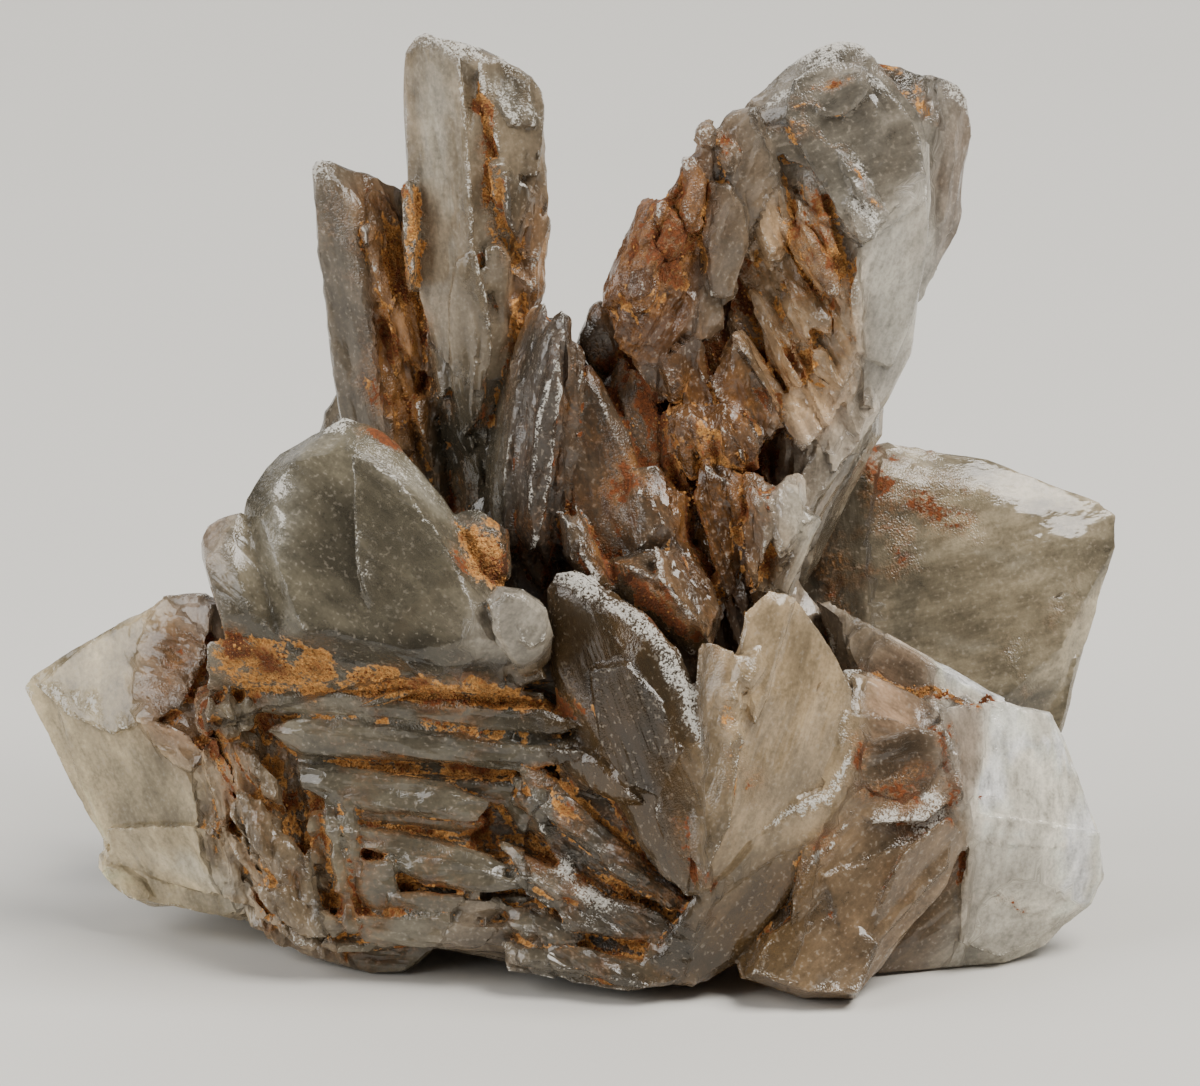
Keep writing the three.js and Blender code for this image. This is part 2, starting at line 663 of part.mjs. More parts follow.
// The large blade that stands away at the back right, and its lower corner.
function backRight() {
  return [
    crystal({
      rim: [
        [24, 49.5], [28.5, 49.3], [33, 47.7], [38.5, 47.3], [44.5, 44.4], [49.8, 43.2],
        [51.9, 41.7], [52, 39], [50, 33.3], [48.3, 27.5], [46, 20.5], [40, 18], [30, 19],
        [19, 24], [17, 36], [20, 45],
      ],
      front: [
        [27, 46, 2.6], [38, 44.3, 2.4], [47.5, 39.5, 2.2], [46, 29, 3.4], [38, 22, 4.4],
        [26, 26, 4.6],
      ],
      back: [
        [28, 46, 4], [45, 41, 3], [44, 26, 5], [28, 24, 6],
      ],
      at: [35, 34], y: 24, turn: 8, lean: 20,
    }),
    plate({
      rim: [
        [44, 28], [46.8, 29], [48.4, 28.5], [47, 22.7], [45.8, 19.5], [40, 16.5], [38.5, 21.5],
      ],
      thick: 2.4, root: 3, y: 22.4, turn: 14, lean: 20,
    }),
  ];
}

// The small blades that stand between the tower and the fan, and what closes the
// space behind them.
function middleBlades() {
  const backing = crystal({
    rim: [
      [-3.4, 51.5], [-2, 57.3], [0.5, 60], [5, 60.5], [10, 51.5], [13, 37.5], [10, 29.5],
      [-4, 29.5], [-6, 41.5],
    ],
    front: { share: 0.8, out: 2 },
    back: { share: 0.8, out: 5 },
    at: [2, 55], y: 10, turn: 0, lean: 14,
  });
  // rim, thickness, depth of its first point, turn, lean
  const upright = [
    [
      [
        [-5.5, 63.3], [-5.2, 60.5], [-6.4, 53.5], [-7.8, 45.5], [-8.8, 37.5], [-12, 35.5],
        [-10.8, 45.5], [-8.5, 55.5], [-6.8, 61.3],
      ],
      5, 3.6, 16, 8,
    ],
    [
      [
        [-3.8, 62.5], [-3.1, 61.5], [-2.8, 56.5], [-3.4, 50.5], [-4.2, 44.5], [-6, 34.3],
        [-7.8, 37.5], [-8.8, 43.5], [-7.6, 53.5], [-6, 59.3],
      ],
      5, 0.6, 14, 5,
    ],
    [
      [
        [-5.2, 60.5], [-4.4, 61.1], [-4.8, 53.5], [-6.6, 43.5], [-8, 37.5], [-8.8, 41.5],
        [-7.6, 51.5],
      ],
      9, 0, 14, 4,
    ],
    [
      [
        [-2.4, 59.1], [-1.6, 58.3], [-2.6, 50.5], [-4.4, 41.5], [-6, 34.5], [-6.4, 39.5],
        [-4.2, 50.5],
      ],
      3.4, -0.4, 20, 4,
    ],
    [
      [
        [-1, 57], [0.1, 55.6], [2.9, 49.5], [4.6, 43.3], [5, 40.5], [2.6, 38.3], [0.2, 34.3],
        [-3, 39], [-3.7, 45.7], [-2.8, 53.3], [-1.9, 56.4],
      ],
      2.8, 0.4, -12, 14,
    ],
    [
      [
        [-0.2, 63.2], [1.2, 63.1], [3.2, 61.5], [4.9, 58.3], [6.8, 53.9], [5, 53.3], [1.8, 56.7],
        [-1.5, 57.5], [-2.3, 58.8], [-1.6, 60.9],
      ],
      2.4, 6.4, 8, 8,
    ],
    [[[2.2, 57.9], [3, 57.1], [3.4, 51.5], [4, 46.5], [2, 49.5], [0.6, 55.1]], 2.8, 3.4, 4, 10],
    [
      [
        [3.3, 56.8], [4.5, 56.1], [6.2, 52.9], [9, 46.5], [10.1, 43], [9, 39], [6.4, 37.5],
        [4.5, 43.5], [2.4, 50.5], [2, 54.3],
      ],
      3, 1.8, -8, 14,
    ],
    [
      [[6.4, 61.4], [7.3, 60.3], [8.7, 55.1], [9.2, 51.5], [7.6, 53.1], [6.4, 56.9], [5.8, 60.1]],
      2.8, 1.6, 0, 10,
    ],
    [
      [[8.8, 59.7], [10, 58], [11.7, 53.5], [12.2, 49], [10, 49.9], [8.4, 53.5], [7.4, 59]],
      3.2, 0.8, -4, 8,
    ],
    [
      [
        [13.3, 60.2], [14.3, 59.4], [16, 55.1], [18.6, 53.3], [17, 49], [14.2, 49.5],
        [11.6, 53.3], [11.1, 56.1], [12.2, 56.9], [12.7, 59.3],
      ],
      3.4, 0.2, -8, 6,
    ],
    [
      [
        [10.5, 48.1], [11.4, 47.9], [13.2, 45.7], [14.2, 43], [13.8, 37.5], [12.4, 33.1],
        [10.8, 37.5], [9.7, 43], [9.8, 46.5],
      ],
      3.2, -4.4, -14, 12,
    ],
    [
      [
        [14.5, 46.1], [15.5, 45.3], [17.2, 41.1], [20, 41.7], [22, 41.3], [20.8, 37.9],
        [18.6, 33.1], [15.2, 32.9], [14.2, 37.5], [13.8, 44.5],
      ],
      4, -5.4, -6, 10,
    ],
    [
      [
        [16.8, 44.6], [18.2, 45.5], [19.8, 45.7], [20.6, 43], [19.8, 40.7], [17.6, 40.7],
        [16.4, 43.1],
      ],
      4, -5.2, -6, 8,
    ],
    [
      [
        [7.2, 40.5], [9, 38.7], [11.2, 34.7], [11.7, 32.3], [11, 28], [9.4, 30.5], [7.6, 34.5],
        [6.4, 38.5],
      ],
      3, -6.4, -14, 12,
    ],
    [
      [[-4.4, 42.5], [-2.5, 41.5], [0.4, 36], [1.4, 33], [-1, 34.3], [-3.8, 38]],
      3.2, -6.2, 8, 14,
    ],
  ].map(([rim, thick, y, turn, lean]) => plate({ rim, thick, root: 2, y, turn, lean }));
  // The lumps of stained crust that fill the spaces between them.
  const lumps = [
    [
      [
        [0.4, 37.5], [4, 38.3], [6.8, 37.5], [10, 32.5], [11.2, 28.7], [9, 28], [4, 31.9],
        [0.6, 33.9],
      ],
      [[3, 36.3, 3.6], [6.8, 34.5, 4.2], [9, 30.7, 3.2]],
      -7, -6, 26,
    ],
    [
      [[3, 46.5], [5.5, 46.9], [8.6, 43.5], [8.4, 39], [5.5, 37.3], [2.2, 37.9], [1.4, 42]],
      [[4, 44.5, 2.2], [6.4, 41.5, 3], [4, 39, 2.4]],
      -3.6, -6, 16,
    ],
    [
      [
        [6.4, 52.3], [10, 53.3], [13.5, 53.1], [16.4, 49.5], [15.8, 46.5], [12, 46.9], [9, 46.1],
        [6.8, 48.5],
      ],
      [[9, 51, 2.6], [12.5, 50.5, 3.4], [14.5, 48.3, 2.6]],
      -1.4, -6, 18,
    ],
    [
      [[-14.8, 42], [-12, 42.7], [-9.5, 40.5], [-9, 36], [-11, 33.9], [-13.2, 35.5]],
      [[-12.5, 40, 2.4], [-11, 37, 3]], -6, 0, 20,
    ],
  ].map(([rim, front, y, turn, lean]) =>
    crystal({ rim, front, back: { share: 0.8, out: 5 }, y, turn, lean }),
  );
  return [backing, ...upright, ...lumps];
}

// A spear-shaped rim from its tip to its root, `width` across: how far along and how
// wide, as shares.
const SPEAR = [[0, 0.15], [0.14, 0.65], [0.45, 1], [1, 0.6]];

function spear(tip, root, width) {
  const along = new THREE.Vector2(root[0] - tip[0], root[1] - tip[1]);
  const across = new THREE.Vector2(-along.y, along.x).normalize().multiplyScalar(width / 2);
  const corner = (share, wide) => [
    tip[0] + along.x * share + across.x * wide,
    tip[1] + along.y * share + across.y * wide,
  ];
  const down = SPEAR.map(([share, wide]) => corner(share, wide));
  const up = [...SPEAR].reverse().map(([share, wide]) => corner(share, -wide));
  return [...down, ...up];
}

// The blades at the back, which the front ones hide from the front.
function backBlades() {
  const broad = [
    crystal({
      rim: [[-26, 56], [-20, 60], [-12, 56], [-8, 42], [-12, 24], [-24, 20], [-33, 28], [-31, 44]],
      front: { share: 0.7, out: 5 },
      back: [[-22, 50, 3.4], [-14, 48, 3.2], [-15, 32, 5.6], [-25, 32, 5]],
      at: [-20, 40], y: 21, turn: -18, lean: 22,
    }),
    crystal({
      rim: [[12, 66], [22, 74], [29, 66], [28, 50], [20, 34], [10, 34], [7, 50]],
      front: { share: 0.7, out: 6 },
      back: [[21, 68, 3], [24, 54, 5.4], [13, 52, 4.4], [16, 40, 5]],
      at: [17, 48], y: 18, turn: 20, lean: 10,
    }),
    crystal({
      rim: [[-47, 24], [-38, 30], [-22, 30], [-10, 24], [-8, 12], [-18, 6], [-30, 5.6], [-43, 13]],
      front: { share: 0.8, out: 8 },
      back: [[-40, 23, 2.6], [-26, 25, 4.4], [-14, 18, 4], [-28, 12, 4.6]],
      at: [-30, 6.4], y: 20.2, turn: -12, lean: -10,
    }),
    crystal({
      rim: [[2, 26], [12, 31], [28, 30], [42, 22], [44, 15], [36, 7], [24, 7.4], [6, 10]],
      front: { share: 0.8, out: 9 },
      back: [[10, 25, 3.6], [26, 25, 4.6], [38, 18, 3], [24, 13, 4.6]],
      at: [36, 8], y: 25.4, turn: 10, lean: -6,
    }),
  ];
  // tip, root, width, thickness, depth of its tip, turn, lean
  const slim = [
    [[-31, 41], [-16, 16], 12, 4, 24, -20, 12],
    [[-14, 50], [-10, 22], 9, 4.4, 15, 8, 12],
    [[-3, 54], [-2, 20], 10, 4.4, 19, -22, 16],
    [[7, 50], [5, 18], 8, 4, 21, 34, 16],
    [[31, 43], [18, 14], 12, 4.4, 31, 12, 8],
    [[-30, 20], [-10, 10], 10, 4.4, 28, -34, 16],
    [[14, 25], [2, 9], 11, 5, 31, 40, 12],
    [[-6, 35], [-6, 9], 9, 5, 29, 64, 14],
    [[0, 19], [-8, 6], 10, 5, 29, 20, 22],
  ].map(([tip, root, width, thick, y, turn, lean]) =>
    plate({ rim: spear(tip, root, width), thick, root: 2, face: 0.72, y, turn, lean }),
  );
  return [...broad, ...slim];
}

// The middle that all of them grow from.
function core() {
  return crystal({
    rim: [
      [-18, 38], [-12, 44], [0, 42], [8, 40], [16, 42], [22, 32], [27, 20], [26, 8], [16, 0],
      [2, -1], [-12, 3], [-24, 10], [-28, 26],
    ],
    front: { share: 0.7, out: 5 },
    back: { share: 0.7, out: 22 },
    at: [2, 20], y: -2, turn: 0, lean: 18,
  });
}

// Joins the crystals, and trims what would be below the surface they stand on.
async function joined(geometries) {
  const wasm = await Module();
  wasm.setup();
  const solidOf = (geometry) => {
    geometry.deleteAttribute("normal");
    geometry.deleteAttribute("uv");
    const merged = mergeVertices(geometry, 1e-4);
    return new wasm.Manifold(
      new wasm.Mesh({
        numProp: 3,
        vertProperties: merged.attributes.position.array,
        triVerts: new Uint32Array(merged.index.array),
      }),
    );
  };
  const below = new THREE.BoxGeometry(2 * REACH.width, 2 * REACH.width, REACH.height);
  below.translate(0, 0, -REACH.height / 2);
  const whole = geometries.map(solidOf).reduce((sum, solid) => sum.add(solid));
  const mesh = whole.subtract(solidOf(below)).getMesh();
  const geometry = new THREE.BufferGeometry();
  geometry.setAttribute("position", new THREE.BufferAttribute(mesh.vertProperties, 3));
  geometry.setIndex(new THREE.BufferAttribute(mesh.triVerts, 1));
  return geometry;
}

const geometry = await joined([
  core(),
  ...towers(),
  ...rightFan(),
  ...leftLens(),
  ...leftSpear(),
  ...plateStack(),
  ...frontDiscs(),
  ...lowerRight(),
  ...backRight(),
  ...middleBlades(),
  ...backBlades(),
]);
geometry.computeVertexNormals();

const cluster = new THREE.Mesh(
  geometry,
  new THREE.MeshStandardMaterial({ color: SELENITE.colour, roughness: SELENITE.roughness }),
);
cluster.name = "selenite_cluster";

// The part's origin is under the middle of the cluster, on the surface it stands on.
geometry.computeBoundingBox();
const middle = geometry.boundingBox.getCenter(new THREE.Vector3());
cluster.position.set(-middle.x, -middle.y, 0);

const part = new THREE.Group();
part.add(cluster);
export default part;
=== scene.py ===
"""Dresses the packed selenite cluster: weathered, smoky crystals with frosted rims and some
painted highlights, and iron-stained clay in the seams between them. Lengths inside are in
millimetres."""

import math
from functools import partial
from typing import NamedTuple

import bmesh
import bpy
import numpy as np
from bpy.props import FloatProperty, FloatVectorProperty, IntProperty, PointerProperty
from mathutils import Matrix, Vector
from mathutils.bvhtree import BVHTree


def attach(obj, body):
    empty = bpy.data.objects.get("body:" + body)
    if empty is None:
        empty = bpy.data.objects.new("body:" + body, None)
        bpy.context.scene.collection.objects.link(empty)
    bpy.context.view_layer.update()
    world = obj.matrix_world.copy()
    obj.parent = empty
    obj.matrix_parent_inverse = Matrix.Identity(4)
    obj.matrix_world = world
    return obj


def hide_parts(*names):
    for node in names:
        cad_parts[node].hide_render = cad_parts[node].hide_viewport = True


bl_info = {
    "name": "Selenite cluster",
    "version": (1, 0, 0),
    "blender": (4, 5, 0),
    "location": "View3D > Sidebar > Selenite",
    "description": "Weathers and stains a cluster of bladed selenite crystals",
    "category": "Object",
}

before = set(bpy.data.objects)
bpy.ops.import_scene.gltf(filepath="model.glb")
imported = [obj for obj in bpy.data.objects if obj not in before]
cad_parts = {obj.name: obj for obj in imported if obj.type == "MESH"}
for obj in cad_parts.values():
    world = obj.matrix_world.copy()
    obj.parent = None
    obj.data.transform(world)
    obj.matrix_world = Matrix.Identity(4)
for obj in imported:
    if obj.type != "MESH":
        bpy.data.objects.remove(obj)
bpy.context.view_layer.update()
SOLID = "selenite_cluster"  # the packed node that the crystals stand for
BODY = "root"
MM = 0.001

# The cluster is drawn on a sheet that leans back: across to the right, up the sheet,
# and depth level into the cluster. ORIGIN is where the sheet's zero sits in the part.
SHEET_LEAN = math.radians(18)
ORIGIN = np.array([2.94, -4.90, 0.0])
ACROSS = np.array([1.0, 0.0, 0.0])
UP = np.array([0.0, math.sin(SHEET_LEAN), math.cos(SHEET_LEAN)])
AWAY = np.array([0.0, math.cos(SHEET_LEAN), -math.sin(SHEET_LEAN)])


def on_sheet(across, up, depth=0.0):
    """A point of the part, from its place on the sheet and its level depth."""
    height = (up - depth * UP[1]) / UP[2]
    return ORIGIN + np.array([across, depth, height])


def axes_along(direction):
    """Unit directions in the part: beside a direction on the sheet, along it, and away."""
    across, up = direction
    heading = across * ACROSS + up * UP
    along = heading / np.linalg.norm(heading)
    return np.stack([np.cross(along, AWAY), along, AWAY])


def linear(hex_colour):
    """Linear RGB from an sRGB hex colour."""
    shares = [int(hex_colour[i : i + 2], 16) / 255 for i in (1, 3, 5)]
    return tuple(s / 12.92 if s <= 0.04045 else ((s + 0.055) / 1.055) ** 2.4 for s in shares)


# ---------------------------------------------------------------- the crystals


class Crystal(NamedTuple):
    """One crystal, or a run of like ones, as a zone that reaches `reach` each way
    (beside its growth axis, along it, and in depth) from the middle `at`."""

    name: str
    at: tuple  # across, up, depth
    reach: tuple
    grows: tuple  # the growth axis on the sheet
    body: str  # colour of the cloudy crystal, in the thin ones partly painted glow
    clear: float = 0.5  # how glassy: 0 milky, 1 clear
    stain: float = 0.5  # clay held in its seams
    rust: float = 0.3  # 0 ochre clay, 1 dark red rust
    frost: float = 0.5  # white bruising along its edges, partly painted highlight where the edges catch the light
    relief: float = 0.0  # depth of the ridges along its faces, 1 the deepest
    blades: float = 0.0  # share of its faces grown over with small blades
    grit: float = 0.0  # loose sandy grains
    coarse: float = 1.0  # size of its small blades


CRYSTALS = (
    Crystal("tall tower", (-12.2, 74.5, 11), (7, 20, 7), (-2, 50), "#8A7C68",
            clear=0.54, stain=0.35, frost=0.7, relief=0.12),
    Crystal("tall tower foot", (-13, 51.5, 10), (7, 11, 8), (-2, 50), "#4A4438",
            clear=0.52, stain=0.6, frost=0.4, relief=0.3, blades=0.1),
    Crystal("tall tower seam", (-7.5, 66.5, 8), (2.5, 10, 5), (2, 50), "#8E6F52",
            clear=0.14, stain=0.9, rust=0.35, frost=0.6, grit=0.3, relief=0.8, blades=0.1),
    Crystal("short tower", (-25, 66.5, 13), (5, 14, 6), (-8, 40), "#776B5B",
            clear=0.49, stain=0.5, frost=0.6, relief=0.2),
    Crystal("short tower seam", (-20.5, 60.5, 10), (3, 16, 5), (-10, 40), "#9A6F45",
            clear=0.14, stain=1.0, rust=0.3, frost=0.5, grit=0.5, relief=0.6, blades=0.2),
    Crystal("fan head", (24, 81.5, 8), (9, 9, 8), (10, 3.5), "#7E776C",
            clear=0.52, stain=0.35, frost=0.3, relief=0.12),
    Crystal("fan pitted face", (19.5, 64.5, 4), (6, 17, 6), (-24, 50), "#A08566",
            clear=0.14, stain=0.8, rust=0.25, frost=0.5, grit=0.35, relief=0.8, blades=0),
    # The fan's smooth face: its pale body is partly its own colour, partly painted glow of light
    # through the thin crystal.
    Crystal("fan smooth face", (29, 65.5, 8), (4, 18, 8), (14, 50), "#C4BFB4",
            clear=0.58, stain=0.15, frost=0.5, relief=0.03),
    Crystal("fan left facets", (13, 72.5, 5), (4, 11, 6), (14, 50), "#7B6A58",
            clear=0.45, stain=0.3, rust=0.3, frost=0.4, relief=0.25),
    Crystal("fan broken edge", (6, 66.5, 2), (5, 12, 6), (22, 40), "#5E3F28",
            clear=0.14, stain=0.95, rust=0.4, frost=0.6, grit=0.4, relief=0.6, blades=0.05),
    Crystal("fan foot", (20, 43.5, 4), (5, 11, 6), (10, 50), "#9C8D7B",
            clear=0.52, stain=0.35, frost=0.4, relief=0.3),
    Crystal("hidden fan", (33.5, 76.5, 14), (4, 9, 5), (4, 40), "#857668",
            clear=0.39, stain=0.5, rust=0.5, frost=0.7, relief=0.35, blades=0),
    Crystal("back plate", (37, 35.5, 26), (16, 13, 8), (40, 10), "#A0947C",
            clear=0.52, stain=0.4, rust=0.6, frost=0.0, relief=0.04),
    Crystal("brown blades", (2, 48.5, 0), (7, 14, 9), (-12, 40), "#62503F",
            clear=0.39, stain=0.75, rust=0.6, frost=0.9, grit=0.2, relief=0.2, blades=0),
    Crystal("valley", (10, 46.5, 0), (7, 12, 9), (-10, 40), "#5E4026",
            clear=0.14, stain=1.0, rust=0.5, frost=0.6, grit=0.6,
            coarse=1.5, relief=0.8, blades=0.15),
    Crystal("thin blades", (-6, 50.5, -2), (3, 14, 7), (2, 50), "#4F463F",
            clear=0.39, stain=0.6, rust=0.5, frost=0.9, relief=0.4, blades=0),
    Crystal("big lens", (-25.5, 38.5, -8), (15, 11, 12), (-30, 24), "#6E6756",
            clear=0.55, stain=0.2, rust=0.5, frost=0.5, relief=0),
    Crystal("lens side lobe", (-37.5, 36.5, -2), (4, 8, 8), (-6, 40), "#A08C7A",
            clear=0.45, stain=0.4, rust=0.4, frost=0.6, relief=0.15),
    Crystal("knob", (-8, 31.5, -17), (3.5, 4, 4), (20, 30), "#A39B8D",
            clear=0.45, stain=0.15, frost=0.6, relief=0.05),
    # The spear's pale body is partly its own colour, partly painted glow of light through the thin
    # crystal.
    Crystal("left spear", (-49, 16.5, 3), (10, 14, 7), (-16, 40), "#CDBB96",
            clear=0.55, stain=0.05, rust=0.3, frost=0.5, relief=0.04),
    Crystal("spear root", (-41, 24.5, 0), (6, 5, 7), (-30, 10), "#8C6E52",
            clear=0.45, stain=0.9, rust=0.55, frost=0.6, grit=0.4, relief=0.4, blades=0),
    Crystal("plate stack", (-18, 14.5, -12), (11, 15, 8), (-50, 4), "#6C6555",
            clear=0.46, stain=0.9, rust=0.2, frost=0.3, grit=0.4,
            coarse=1.6, relief=0.3, blades=0),
    Crystal("sandy flank", (-33, 10.5, -9), (5, 10, 7), (-8, 40), "#7E6C55",
            clear=0.14, stain=0.75, rust=0.15, frost=0.4, grit=1.0, relief=1, blades=0.2),
    Crystal("slanting plates", (0, 8.5, -14), (7, 10, 7), (-34, 22), "#5A5145",
            clear=0.41, stain=1.0, rust=0.3, frost=0.6, grit=0.5,
            coarse=1.7, relief=0.5, blades=0.05),
    Crystal("front disc", (2.5, 20.5, -17), (7, 15, 5), (-14, 40), "#4C3619",
            clear=0.58, stain=0.25, rust=0.5, frost=0.4, relief=0.02),
    Crystal("right disc", (18.5, 20.5, -17), (7, 14, 6), (14, 40), "#AE9878",
            clear=0.52, stain=0.25, rust=0.4, frost=0.5, relief=0.08),
    Crystal("lower disc", (17, 4.5, -15), (5, 8, 6), (20, 30), "#74552C",
            clear=0.52, stain=0.4, rust=0.3, frost=0.4, relief=0.12),
    Crystal("tan band", (29.3, 23, -10), (5, 2.5, 5), (45, -25), "#AE8F73",
            clear=0.45, stain=0.25, rust=0.5, frost=0.35, relief=0.05),
    Crystal("disc seam", (12.2, 19.5, -14), (1.8, 9, 5), (2, 50), "#94724E",
            clear=0.52, stain=0.9, rust=0.3, frost=0.8, grit=0.2, relief=0.4),
    Crystal("lower right", (28, 6.5, -13), (7, 9, 9), (30, 30), "#7A644C",
            clear=0.45, stain=0.5, rust=0.5, frost=0.4, grit=0.15, relief=0.1),
    # The pale crystal's body is partly its own colour, partly painted glow of light through the
    # thin crystal.
    Crystal("pale crystal", (43.5, 14.5, -4), (8, 12, 8), (6, 40), "#F0EADB",
            clear=0.46, stain=0.08, rust=0.6, frost=0.4, relief=0.05),
    Crystal("brown sheet", (29, 17.7, -10), (5, 3.5, 6), (40, 8), "#53402F",
            clear=0.46, stain=0.5, rust=0.7, frost=0.4, relief=0.1),
    Crystal("grey sliver", (36.2, 18, -7), (2, 5, 5), (6, 40), "#9C8D7E",
            clear=0.46, stain=0.3, rust=0.6, frost=0.4, relief=0.1),
    Crystal("pale crystal foot", (42, 3.5, -4), (9, 5, 8), (45, 10), "#D6CFBE",
            clear=0.46, stain=0.1, rust=0.4, frost=0.5, relief=0.12),
    Crystal("front foot", (-12, -2, -14), (20, 3, 6), (50, 2), "#8A7A67",
            clear=0.45, stain=0.35, rust=0.2, frost=0.6, relief=0.25, blades=0),
    Crystal("back of the cluster", (0, 34, 26), (34, 26, 9), (-4, 40), "#74695A",
            clear=0.41, stain=0.55, rust=0.45, frost=0.2, relief=0.25, blades=0),
)


class Plate(NamedTuple):
    """A smaller crystal on the front, drawn by its rim on the sheet. Its plane follows
    what it grows on, tilted by `turn` and `lean` degrees, and `proud` in front of it."""

    rim: tuple
    proud: float = 0.8
    thick: float = 1.6
    face: float = 0.8  # how much of the rim its flat face fills
    turn: float = 0.0  # carries its right side back
    lean: float = 0.0  # carries its top back
    tone: float = 0.0  # paler above 0, darker below


